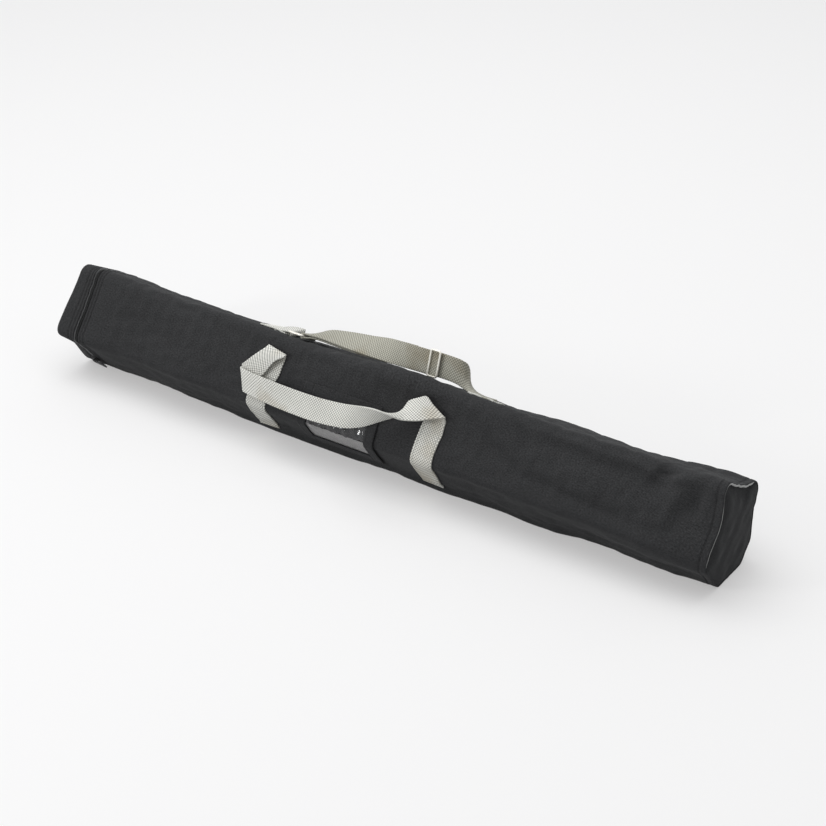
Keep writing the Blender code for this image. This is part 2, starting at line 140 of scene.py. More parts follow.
class NodeBuilder:
    """Shorthand for filling one node tree."""

    def __init__(self, tree: bpy.types.NodeTree) -> None:
        """Take the tree to fill.

        Args:
            tree: nodes of a material, of the world or of a modifier.
        """
        self.nodes = tree.nodes
        self.links = tree.links

    def add(self, kind: str, inputs: dict | None = None, **settings) -> bpy.types.Node:
        """Add a node, set its settings and fill or link its inputs.

        Args:
            kind: node type name.
            inputs: values or sockets by input name or number.
            settings: node properties.

        Returns:
            The new node.
        """
        node = self.nodes.new(kind)
        for key, value in settings.items():
            setattr(node, key, value)
        for key, value in (inputs or {}).items():
            self.feed(node.inputs[key], value)
        return node

    def feed(self, socket: Socket, value) -> None:
        """Link a socket into an input, or set the input's own value.

        Args:
            socket: input to fill.
            value: a socket or a plain value.
        """
        if isinstance(value, Socket):
            self.links.new(value, socket)
        else:
            socket.default_value = value

    def math(self, operation: str, *values) -> Socket:
        """Add a Math node.

        Args:
            operation: name of the operation.
            values: sockets or numbers.

        Returns:
            Its output socket.
        """
        return self.add("ShaderNodeMath", dict(enumerate(values)), operation=operation).outputs[0]


class ShaderTree(NodeBuilder):
    """Nodes of one material."""

    def __init__(self, name: str) -> None:
        """Start a material that holds only a Principled shader and its output.

        Args:
            name: name of the material.
        """
        self.material = bpy.data.materials.new(name)
        self.material.use_nodes = True
        super().__init__(self.material.node_tree)
        self.shader = self.nodes["Principled BSDF"]

    def put(self, name: str, value) -> None:
        """Fill one of the shader's own inputs.

        Args:
            name: name of the input.
            value: a socket or a plain value.
        """
        self.feed(self.shader.inputs[name], value)

    def uv(self) -> tuple[Socket, Socket]:
        """Give the two UV directions, which are in metres on every sheet.

        Returns:
            Sockets for u and v.
        """
        spot = self.add("ShaderNodeUVMap", uv_map="cloth").outputs[0]
        parts = self.add("ShaderNodeSeparateXYZ", {0: spot})
        return parts.outputs[0], parts.outputs[1]

    def noise(self, scale: float, detail: float = 3.0) -> Socket:
        """Add a noise texture in object space.

        Args:
            scale: waves per metre.
            detail: octaves.

        Returns:
            Its factor socket.
        """
        spot = self.add("ShaderNodeTexCoord").outputs["Object"]
        node = self.add("ShaderNodeTexNoise", {"Vector": spot, "Scale": scale, "Detail": detail})
        return node.outputs[0]

    def flat_noise(self, along: float, across: float, detail: float) -> Socket:
        """Add a noise texture in UV space, with its own scale each way.

        Args:
            along: waves per metre along u.
            across: waves per metre along v.
            detail: octaves.

        Returns:
            Its factor socket.
        """
        u, v = self.uv()
        scaled = {0: self.math("MULTIPLY", u, along), 1: self.math("MULTIPLY", v, across)}
        spot = self.add("ShaderNodeCombineXYZ", scaled).outputs[0]
        return self.add("ShaderNodeTexNoise", {"Vector": spot, "Scale": 1.0, "Detail": detail}).outputs[0]

    def spread(self, factor, low: float, high: float) -> Socket:
        """Map a 0 to 1 factor onto a range.

        Args:
            factor: socket to map.
            low: value at 0.
            high: value at 1.

        Returns:
            The mapped socket.
        """
        return self.add("ShaderNodeMapRange", {0: factor, 3: low, 4: high}).outputs[0]

    def tint(self, colour: Point, factor) -> Socket:
        """Multiply a colour by a factor.

        Args:
            colour: linear colour.
            factor: socket with the brightness to apply.

        Returns:
            Socket of the scaled colour.
        """
        return self.add("ShaderNodeVectorMath", {0: colour, "Scale": factor}, operation="SCALE").outputs[0]

    def bump(self, height, distance: float, strength: float = 1.0, under=None) -> Socket:
        """Turn a height into a normal.

        Args:
            height: height socket.
            distance: height of a full step, in metres.
            strength: share of the effect.
            under: normal of a coarser bump below this one.

        Returns:
            The normal socket.
        """
        inputs = {"Height": height, "Distance": distance, "Strength": strength}
        if under is not None:
            inputs["Normal"] = under
        return self.add("ShaderNodeBump", inputs).outputs[0]

    def checker(self, pitch: float) -> Socket:
        """Height of a plain weave, from 0 to 1.

        Args:
            pitch: two threads, in metres.

        Returns:
            The height socket.
        """
        waves = [self.math("SINE", self.math("MULTIPLY", way, math.tau / pitch)) for way in self.uv()]
        return self.math("MULTIPLY_ADD", self.math("MULTIPLY", *waves), 0.5, 0.5)


DUST_COLOUR = (0.30, 0.30, 0.30, 1.0)
STAIN_COLOUR = (0.62, 0.54, 0.42, 1.0)


@dataclass(frozen=True)
class Finish:
    """Base of every surface finish."""

    name: str
    slot: str
    colour: Point
    roughness: float
    metallic: float = 0.0

    def material(self) -> bpy.types.Material:
        """Give the finish's material, made on first use.

        Returns:
            The material.
        """
        known = bpy.data.materials.get(self.name)
        if known is not None:
            return known
        tree = ShaderTree(self.name)
        tree.put("Base Color", (*self.colour, 1.0))
        tree.put("Roughness", self.roughness)
        tree.put("Metallic", self.metallic)
        self.detail(tree)
        return tree.material

    def detail(self, tree: ShaderTree) -> None:
        """Add what sets this finish apart; the plain one is only mottled.

        Args:
            tree: the material's nodes.
        """
        mottle = tree.noise(60.0)
        tree.put("Base Color", tree.tint(self.colour, tree.spread(mottle, 0.85, 1.15)))


@dataclass(frozen=True)
class ClothFinish(Finish):
    """Woven cloth with raised threads, painted shade and highlight on its weave, uneven dye and a little
    dust.
    """

    pitch: float = 0.0012
    thread_height: float = 0.00012
    painted_weave_shade: float = 0.25
    mottle: float = 0.15
    sheen: float = 0.15
    dust: float = 0.10
    stain: float = 0.0
    slub: float = 0.0
    grain: tuple[float, float] = (430.0, 600.0)

    def detail(self, tree: ShaderTree) -> None:
        """Weave in the normal, and in the colour as painted shade between the threads and painted highlight
        on them; dust in the folds of the noise.

        Args:
            tree: the material's nodes.
        """
        threads = tree.checker(self.pitch)
        patches = tree.noise(22.0, 5.0)
        fibres = tree.noise(900.0, 2.0)
        # painted shade and highlight of the weave, darker between threads and lighter on them, times uneven
        # dye
        shade = tree.math("MULTIPLY", tree.spread(threads, 1 - self.painted_weave_shade, 1 + self.painted_weave_shade),
                          tree.spread(patches, 1 - self.mottle, 1 + self.mottle))
        grain = tree.flat_noise(*self.grain, 2.0)
        shade = tree.math("MULTIPLY", shade, tree.spread(grain, 1 - 2 * self.slub, 1 + 2 * self.slub))
        woven = tree.tint(self.colour, shade)
        speck = tree.math("MULTIPLY", tree.math("GREATER_THAN", fibres, 0.72), self.dust)
        dusty = tree.add("ShaderNodeMix", {0: speck, 6: woven, 7: DUST_COLOUR}, data_type="RGBA")
        smear = tree.add("ShaderNodeMapRange", {0: tree.noise(16.0, 4.0), 1: 0.52, 2: 0.75, 4: self.stain})
        soiled = tree.add("ShaderNodeMix", {0: smear.outputs[0], 6: dusty.outputs[2], 7: STAIN_COLOUR},
                          data_type="RGBA", blend_type="MULTIPLY")
        tree.put("Base Color", soiled.outputs[2])
        tree.put("Specular IOR Level", 0.08)
        tree.put("Roughness", tree.spread(patches, self.roughness - 0.08, self.roughness + 0.08))
        tree.put("Sheen Weight", self.sheen)
        tree.put("Sheen Roughness", 0.5)
        fuzz = tree.bump(fibres, 0.0001, 0.5)
        tree.put("Normal", tree.bump(threads, self.thread_height, 1.0, fuzz))


@dataclass(frozen=True)
class MetalFinish(Finish):
    """Plated or machined metal with fine handling marks."""

    grain: float = 400.0

    def detail(self, tree: ShaderTree) -> None:
        """Marks in the gloss and a faint ripple in the plating.

        Args:
            tree: the material's nodes.
        """
        marks = tree.noise(self.grain, 4.0)
        tree.put("Roughness", tree.spread(marks, self.roughness - 0.1, self.roughness + 0.15))
        tree.put("Normal", tree.bump(marks, 0.00003, 0.4))


@dataclass(frozen=True)
class FoamFinish(Finish):
    """Open foam or rubber with pores."""

    pore: float = 1400.0
    pore_depth: float = 0.0002

    def detail(self, tree: ShaderTree) -> None:
        """Pores in the normal and the colour.

        Args:
            tree: the material's nodes.
        """
        spot = tree.add("ShaderNodeTexCoord").outputs["Object"]
        cells = tree.add("ShaderNodeTexVoronoi", {"Vector": spot, "Scale": self.pore}).outputs[0]
        tree.put("Base Color", tree.tint(self.colour, tree.spread(cells, 0.6, 1.3)))
        tree.put("Normal", tree.bump(cells, self.pore_depth, 0.8))


@dataclass(frozen=True)
class FilmFinish(Finish):
    """Clear soft plastic that shows what is under it and catches sharp glints, with a painted dark reflection
    across its upper band.
    """

    opacity: float = 0.35
    # where the painted dark reflection starts, how far its edge wanders and how opaque it is
    painted_dark_start: float = 0.037
    painted_dark_wave: float = 0.007
    painted_dark_opacity: float = 0.75

    def detail(self, tree: ShaderTree) -> None:
        """Thin see-through film, made dark and nearly opaque above a wavy line as a painted dark reflection
        where it leaves the card.

        Args:
            tree: the material's nodes.
        """
        v = tree.uv()[1]
        edge = tree.flat_noise(95.0, 0.0, 1.0)
        line = tree.spread(edge, self.painted_dark_start - self.painted_dark_wave, self.painted_dark_start + self.painted_dark_wave)
        # painted dark reflection: above the wavy line the dark film turns nearly opaque
        painted_dark_band = tree.math("GREATER_THAN", v, line)
        tree.put("Alpha", tree.spread(painted_dark_band, self.opacity, self.painted_dark_opacity))
        tree.put("Coat Weight", 1.0)
        tree.put("Coat Roughness", 0.03)
        tree.put("Coat IOR", 1.6)
        tree.put("Specular IOR Level", 0.0)


@dataclass(frozen=True)
class CarbonFinish(Finish):
    """Twill carbon cloth under clear lacquer."""

    tow: float = 0.004

    def detail(self, tree: ShaderTree) -> None:
        """Twill bands in the colour, under a coat.

        Args:
            tree: the material's nodes.
        """
        u, v = tree.uv()
        slant = tree.math("MULTIPLY", tree.math("ADD", u, v), math.tau / self.tow)
        across = tree.math("MULTIPLY", tree.math("SUBTRACT", u, v), math.tau / (4 * self.tow))
        twill = tree.math("MULTIPLY", tree.math("SINE", slant), tree.math("SINE", across))
        tree.put("Base Color", tree.tint(self.colour, tree.spread(twill, 0.8, 1.9)))
        tree.put("Coat Weight", 0.8)
        tree.put("Coat Roughness", 0.12)


NYLON = ClothFinish("black_nylon", "shell_fabric", (0.0355, 0.0357, 0.0368), 0.80, pitch=0.0022,
                    sheen=0.04, slub=0.40)
LINING = ClothFinish("lining", "padding", (0.060, 0.061, 0.065), 0.88, pitch=0.0010, sheen=0.3)
# the webbing's weave gets strong painted shade between its threads
WEBBING = ClothFinish("grey_webbing", "webbing", (0.660, 0.655, 0.612), 0.85, pitch=WEB_PITCH,
                      thread_height=0.0003, painted_weave_shade=0.60, mottle=0.12, sheen=0.1, dust=0.0, stain=0.8)
# darker, yellower copy of the webbing for the strap's upright loop and tail: partly painted shade, partly
# dirt
SHADED_SOILED_WEBBING = ClothFinish("shaded_soiled_webbing", "webbing", (0.395, 0.385, 0.328), 0.85, pitch=WEB_PITCH,
                           thread_height=0.0003, painted_weave_shade=0.60, mottle=0.12, sheen=0.1, dust=0.0, stain=0.9)
ZIP_TAPE = ClothFinish("zip_tape", "zip_nylon", (0.022, 0.022, 0.023), 0.85, pitch=0.0012)
PIPING = ClothFinish("grey_piping", "piping", (0.40, 0.40, 0.39), 0.40, pitch=0.0012, dust=0.0)
BLACK_THREAD = Finish("black_thread", "shell_fabric", (0.010, 0.010, 0.010), 0.7)
GREY_THREAD = Finish("grey_thread", "webbing", (0.50, 0.51, 0.47), 0.6)
# one black coil painted as a paler lit copy on the lid half and a near-black shaded copy on the body half
LIT_COIL = Finish("zip_coil", "zip_nylon", (0.080, 0.081, 0.083), 0.40)
SHADED_COIL = Finish("shaded_zip_coil", "zip_nylon", (0.006, 0.006, 0.006), 0.55)
BLACK_METAL = MetalFinish("black_slider", "zip_nylon", (0.020, 0.020, 0.021), 0.45, 0.3)
NICKEL = MetalFinish("nickel_wire", "nickel", (0.86, 0.83, 0.75), 0.30, 0.35)
FILM = FilmFinish("window_film", "clear_film", (0.03, 0.03, 0.032), 0.08, opacity=0.16)
CARD = Finish("blank_card", "card", (0.55, 0.54, 0.535), 0.7)
BOARD = Finish("stiff_board", "stiff_board", (0.20, 0.19, 0.175), 0.85)
CARBON = CarbonFinish("carbon_tube", "carbon_tube", (0.022, 0.023, 0.025), 0.35)
ALLOY = MetalFinish("dark_alloy", "collar_alloy", (0.09, 0.09, 0.095), 0.40, 1.0)
COLLET = Finish("collet_nylon", "collet_nylon", (0.35, 0.345, 0.33), 0.5)
GRIP = FoamFinish("grip_foam", "grip_foam", (0.035, 0.035, 0.037), 0.9)
RUBBER = FoamFinish("cap_rubber", "cap_rubber", (0.020, 0.020, 0.021), 0.75, pore=500.0, pore_depth=0.0001)
BRASS = MetalFinish("stud_brass", "stud_brass", (0.55, 0.40, 0.18), 0.30, 1.0)


def dress(piece: Item, finish: Finish) -> None:
    """Give a piece its surface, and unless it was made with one.

    Args:
        piece: finished mesh object.
        finish: its surface.
    """
    if not piece.data.materials:
        piece.data.materials.append(finish.material())


def install(piece: Item, body: str, finish: Finish, *nodes: str) -> Item:
    """Dress a piece, hang it on its body and let it stand for CAD nodes.

    Args:
        piece: finished mesh object.
        body: CAD body that it moves with.
        finish: its surface.
        nodes: CAD nodes that it replaces.

    Returns:
        The same piece.
    """
    dress(piece, finish)
    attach(piece, body)
    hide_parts(*nodes)
    LOG.info("%s on %s, %d faces", piece.name, body, len(piece.data.polygons))
    return piece


def linked(name: str, data: bpy.types.ID) -> Item:
    """Put data into the scene as an object.

    Args:
        name: object name.
        data: mesh, lamp or camera.

    Returns:
        The linked object.
    """
    item = bpy.data.objects.new(name, data)
    bpy.context.scene.collection.objects.link(item)
    return item


def bake(item: Item) -> None:
    """Make what an object's modifiers give into its own smooth mesh.

    Args:
        item: object with modifiers.
    """
    view = bpy.context.evaluated_depsgraph_get()
    item.data = bpy.data.meshes.new_from_object(item.evaluated_get(view))
    item.modifiers.clear()
    item.data.shade_smooth()


def mesh_object(name: str, points: Array, faces: list, uv: Array | None = None) -> Item:
    """Make a smooth mesh object from points and faces.

    Args:
        name: object name.
        points: vertices as rows.
        faces: tuples of vertex numbers.
        uv: one row per face corner, in metres.

    Returns:
        The linked object.
    """
    mesh = bpy.data.meshes.new(name)
    mesh.from_pydata([tuple(p) for p in points], [], faces)
    if uv is not None:
        layer = mesh.uv_layers.new(name="cloth")
        layer.data.foreach_set("uv", np.asarray(uv, np.float32).ravel())
    mesh.shade_smooth()
    mesh.update()
    return linked(name, mesh)


def grid_object(name: str, grid: Array, uv: Array, wrap: bool = False,
                ends: Ends = Ends.OPEN) -> Item:
    """Make a mesh object from a grid of points.

    Args:
        name: object name.
        grid: points as rows, columns and 3.
        uv: rows, columns and 2; one more column than the grid where it wraps.
        wrap: joins the last column to the first.
        ends: how the first and last row are closed.

    Returns:
        The linked object.
    """
    rows, columns = grid.shape[:2]
    faces = []
    corners = []
    for i in range(rows - 1):
        for j in range(columns if wrap else columns - 1):
            k = (j + 1) % columns
            faces.append((i * columns + j, (i + 1) * columns + j, (i + 1) * columns + k, i * columns + k))
            corners.extend((uv[i, j], uv[i + 1, j], uv[i + 1, j + 1], uv[i, j + 1]))
    loops = []
    if ends is Ends.FAN:
        loops = [range(columns)]
    if ends is Ends.STRIP:
        loops = [(j, j + 1, columns - 2 - j, columns - 1 - j) for j in range(columns // 2 - 1)]
    for loop in loops:
        last = [(rows - 1) * columns + j for j in reversed(loop)]
        faces.extend((tuple(loop), tuple(last)))
        corners.extend(uv[0, j] for j in loop)
        corners.extend(uv[-1, j] for j in reversed(loop))
    return mesh_object(name, grid.reshape(-1, 3), faces, np.array(corners))


def unit(vectors: Array) -> Array:
    """Scale vectors to length one.

    Args:
        vectors: array whose last axis is the vector.

    Returns:
        The unit vectors.
    """
    return vectors / np.maximum(np.linalg.norm(vectors, axis=-1, keepdims=True), 1e-12)


def grid_normals(grid: Array, wrap: bool = False) -> Array:
    """Normals of a grid of points, right-handed from rows to columns.

    Args:
        grid: points as rows, columns and 3.
        wrap: whether the columns close on themselves.

    Returns:
        One unit normal per point.
    """
    along = np.gradient(grid, axis=0)
    if wrap:
        across = np.roll(grid, -1, axis=1) - np.roll(grid, 1, axis=1)
    else:
        across = np.gradient(grid, axis=1)
    return unit(np.cross(along, across))


def webbing_relief(u: Array, v: Array) -> Array:
    """Height of coarse plain-woven webbing.

    Args:
        u: distance along the webbing.
        v: distance across it.

    Returns:
        Height above the middle of the weave, in metres.
    """
    return WEB_RELIEF * np.sin(math.tau * u / WEB_PITCH) * np.sin(math.tau * v / WEB_PITCH)


def thick_sheet(name: str, middle: Array, wall: float, weave: Weave = Weave.SMOOTH) -> Item:
    """Make a closed sheet of one thickness from the points of its middle.

    Args:
        name: object name.
        middle: points as rows, columns and 3.
        wall: thickness in metres.
        weave: relief raised on both sides.

    Returns:
        The linked object.
    """
    normals = grid_normals(middle)
    lengths = np.linalg.norm(np.diff(middle, axis=0), axis=2).mean(axis=1)
    widths = np.linalg.norm(np.diff(middle, axis=1), axis=2).mean(axis=0)
    u, v = np.meshgrid(np.r_[0, np.cumsum(lengths)], np.r_[0, np.cumsum(widths)], indexing="ij")
    relief = webbing_relief(u, v) if weave is Weave.WEBBING else np.zeros_like(u)
    top = middle + normals * (wall / 2 + relief)[..., None]
    low = middle - normals * (wall / 2 - relief)[..., None]
    loop = np.concatenate((top, low[:, ::-1]), axis=1)
    flat = np.stack((u, v), axis=2)
    uv = np.concatenate((flat, flat[:, ::-1], flat[:, :1]), axis=1)
    return grid_object(name, loop, uv, wrap=True, ends=Ends.STRIP)


class BeadTree(NodeBuilder):
    """Geometry Nodes tree that lays beads, such as stitches or zip teeth, along the lines of a mesh."""

    def __init__(self) -> None:
        """Build the tree once, with its named inputs."""
        self.tree = bpy.data.node_groups.new("bead_run", "GeometryNodeTree")
        super().__init__(self.tree)
        face = self.tree.interface
        face.new_socket("Lines", in_out="INPUT", socket_type="NodeSocketGeometry")
        kinds = dict.fromkeys(("Pitch", "Length", "Width", "Height", "Jitter"), "NodeSocketFloat")
        kinds.update(Seed="NodeSocketInt", Finish="NodeSocketMaterial")
        self.inputs = {}
        for name, kind in kinds.items():
            self.inputs[name] = face.new_socket(name, in_out="INPUT", socket_type=kind).identifier
        face.new_socket("Beads", in_out="OUTPUT", socket_type="NodeSocketGeometry")
        self.build()

    def build(self) -> None:
        """Resample the lines, turn one bead to each point and make the copies real."""
        given = self.add("NodeGroupInput")
        curve = self.add("GeometryNodeMeshToCurve", {0: given.outputs["Lines"]})
        spacing = {"Curve": curve.outputs[0], "Length": given.outputs["Pitch"]}
        points = self.add("GeometryNodeCurveToPoints", spacing, mode="LENGTH")
        out = self.add("GeometryNodeInputNamedAttribute", {"Name": "out"}, data_type="FLOAT_VECTOR")
        along = self.add("FunctionNodeAlignRotationToVector", {"Vector": points.outputs["Tangent"]}, axis="X")
        facing = {"Rotation": along.outputs[0], "Vector": out.outputs[0]}
        turned = self.add("FunctionNodeAlignRotationToVector", facing, axis="Z", pivot_axis="X")
        bead = self.add("GeometryNodeMeshUVSphere", {"Segments": 8, "Rings": 6, "Radius": 0.5})
        size = self.add("ShaderNodeCombineXYZ", {
            0: given.outputs["Length"], 1: given.outputs["Width"], 2: given.outputs["Height"]})
        limits = {2: self.math("SUBTRACT", 1.0, given.outputs["Jitter"]),
                  3: self.math("ADD", 1.0, given.outputs["Jitter"]), "Seed": given.outputs["Seed"]}
        chance = self.add("FunctionNodeRandomValue", limits, data_type="FLOAT")
        stretch = {0: size.outputs[0], "Scale": chance.outputs[1]}
        scaled = self.add("ShaderNodeVectorMath", stretch, operation="SCALE")
        copies = self.add("GeometryNodeInstanceOnPoints", {
            "Points": points.outputs[0], "Instance": bead.outputs[0],
            "Rotation": turned.outputs[0], "Scale": scaled.outputs[0]})
        real = self.add("GeometryNodeRealizeInstances", {0: copies.outputs[0]})
        dressed = self.add("GeometryNodeSetMaterial", {
            "Geometry": real.outputs[0], "Material": given.outputs["Finish"]})
        self.add("NodeGroupOutput", {0: dressed.outputs[0]})

    def run(self, name: str, lines: list, size: Point, pitch: float, finish: Finish,
            jitter: float = 0.1) -> Item:
        """Lay beads along lines and keep the result as one plain mesh.

        Args:
            name: object name.
            lines: pairs of points and outward directions, as rows.
            size: bead length along the line, width across it and height off it.
            pitch: distance from bead to bead.
            finish: surface of the beads.
            jitter: share by which a bead's size may differ.

        Returns:
            The linked mesh object.
        """
        points = np.concatenate([line[0] for line in lines])
        outs = np.concatenate([line[1] for line in lines])
        edges = []
        start = 0
        for line in lines:
            edges.extend((start + i, start + i + 1) for i in range(len(line[0]) - 1))
            start += len(line[0])
        mesh = bpy.data.meshes.new(name)
        mesh.from_pydata([tuple(p) for p in points], edges, [])
        mesh.attributes.new("out", "FLOAT_VECTOR", "POINT").data.foreach_set("vector", outs.ravel())
        item = linked(name, mesh)
        modifier = item.modifiers.new("beads", "NODES")
        modifier.node_group = self.tree
        values = dict(zip(("Length", "Width", "Height"), size))
        values.update(Pitch=pitch, Jitter=jitter, Seed=len(name), Finish=finish.material())
        for key, value in values.items():
            modifier[self.inputs[key]] = value
        item.update_tag()
        bake(item)
        item.data.name = name
        return item


class Outline:
    """Rounded section of the bag, measured by the distance c round it."""

    ARC_STEPS = 24

    def __init__(self) -> None:
        """Turn each corner on its bend and measure the way round."""
        up = np.array((math.sin(ROLL), math.cos(ROLL)))
        down = np.array((math.cos(ROLL), -math.sin(ROLL)))
        front = np.array((0.0, FRONT_LIFT))
        top_front = front + up * FACE_HEIGHT
        top_back = top_front + down * TOP_DEPTH
        back = np.array((top_back[0], BACK_LIFT))
        base_back = np.array((BASE_FRONT_Y + BASE_WIDTH, 0.0))
        base_front = np.array((BASE_FRONT_Y, 0.0))
        corners = [front, top_front, top_back, back, base_back, base_front]
        points = []
        self.reach = []
        for i, corner in enumerate(corners):
            before = unit(corner - corners[i - 1])
            after = unit(corners[(i + 1) % len(corners)] - corner)
            turn = math.acos(float(before @ after))
            self.reach.append(BENDS[i] * math.tan(turn / 2))
            start = corner - before * self.reach[i]
            centre = start + np.array((before[1], -before[0])) * BENDS[i]
            for angle in np.linspace(0.0, turn, self.ARC_STEPS):
                spin = np.array(((math.cos(angle), math.sin(angle)), (-math.sin(angle), math.cos(angle))))
                points.append(centre + spin @ (start - centre))
            if i == 0:
                self.half_front = BENDS[0] * turn / 2
            if i == 1:
                self.top_arc = BENDS[1] * turn
        points = np.array(points)
        points[:, 0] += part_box("bag_shell")[1].y - points[:, 0].max()
        steps = np.linalg.norm(np.roll(points, -1, axis=0) - points, axis=1)
        self.perimeter = float(steps.sum())
        self.places = np.r_[0.0, np.cumsum(steps)] - self.half_front
        self.points = np.vstack((points, points[:1]))
        tangents = unit(np.roll(points, -1, axis=0) - np.roll(points, 1, axis=0))
        outs = np.stack((-tangents[:, 1], tangents[:, 0]), axis=1)
        self.outs = np.vstack((outs, outs[:1]))

    def at(self, c: Array) -> tuple[Array, Array]:
        """Find section points.

        Args:
            c: distances round the section.

        Returns:
            Points and outward directions, as (y, z).
        """
        wrapped = (np.asarray(c) + self.half_front) % self.perimeter - self.half_front
        spot = np.stack([np.interp(wrapped, self.places, self.points[:, k]) for k in (0, 1)], axis=-1)
        out = np.stack([np.interp(wrapped, self.places, self.outs[:, k]) for k in (0, 1)], axis=-1)
        return spot, unit(out)

    def front(self, rise: float) -> float:
        """Give c for a height up the front face from its lower corner.

        Args:
            rise: distance up the face.

        Returns:
            The distance round the section.
        """
        return rise - self.reach[0] + self.half_front

    def top(self, inset: float) -> float:
        """Give c for a distance back along the top face from its front corner.

        Args:
            inset: distance along the face.

        Returns:
            The distance round the section.
        """
        face = FACE_HEIGHT - self.reach[0] - self.reach[1]
        return self.half_front + face + self.top_arc + inset - self.reach[1]

    def rear(self) -> tuple[float, float]:
        """Give where the flat of the rear face starts and ends.

        Returns:
            The two distances round the section.
        """
        lowest = self.places[3 * self.ARC_STEPS - 1]
        return float(lowest), float(self.places[3 * self.ARC_STEPS])


class Ripples:
    """Smooth random relief made of a few crossing waves."""

    def __init__(self, seed: int, shortest: float, longest: float, stretch: float = 1.0) -> None:
        """Draw the waves.

        Args:
            seed: fixed start of the draw.
            shortest: shortest wave, in metres.
            longest: longest wave, in metres.
            stretch: how much longer the waves are along the bag than round it.
        """
        draw = np.random.default_rng(seed)
        count = 14
        lengths = draw.uniform(shortest, longest, count)
        turns = draw.uniform(0.0, math.tau, count)
        ways = np.stack((np.cos(turns) / stretch, np.sin(turns)), axis=1)
        self.waves = ways * (math.tau / lengths)[:, None]
        self.phases = draw.uniform(0.0, math.tau, count)

    def __call__(self, x: Array, c: Array) -> Array:
        """Give the relief at places on the skin.

        Args:
            x: distances along the bag.
            c: distances round it.

        Returns:
            Values mostly between -1 and 1.
        """
        total = np.zeros(np.broadcast(x, c).shape)
        for (along, round_), phase in zip(self.waves, self.phases):
            total += np.sin(along * x + round_ * c + phase)
        return total / math.sqrt(len(self.waves))


@dataclass(frozen=True)
class Crease:
    """Straight valley or ridge pressed into the skin."""

    start: tuple[float, float]
    end: tuple[float, float]
    width: float
    depth: float

    def relief(self, x: Array, c: Array) -> Array:
        """Give the height that the crease adds.

        Args:
            x: distances along the bag.
            c: distances round it.

        Returns:
            Heights along the skin's normal.
        """
        origin = np.array(self.start)
        run = np.array(self.end) - origin
        share = ((x - origin[0]) * run[0] + (c - origin[1]) * run[1]) / (run @ run)
        held = np.clip(share, 0.0, 1.0)
        away = np.hypot(x - origin[0] - held * run[0], c - origin[1] - held * run[1])
        fade = np.sin(math.pi * np.clip(0.08 + 0.84 * held, 0.0, 1.0))
        return -self.depth * fade * np.exp(-(away / self.width) ** 2)


def ramp(value: Array, low: float, high: float) -> Array:
    """Rise smoothly from 0 at low to 1 at high.

    Args:
        value: where to look.
        low: start of the rise.
        high: end of the rise.

    Returns:
        Values from 0 to 1.
    """
    share = np.clip((np.asarray(value) - low) / (high - low), 0.0, 1.0)
    return share * share * (3.0 - 2.0 * share)


def bell(value: Array, middle: float, width: float) -> Array:
    """Rise and fall smoothly round a middle.

    Args:
        value: where to look.
        middle: where the result is 1.
        width: distance at which it has fallen to about a third.

    Returns:
        Values from 0 to 1.
    """
    return np.exp(-((np.asarray(value) - middle) / width) ** 2)


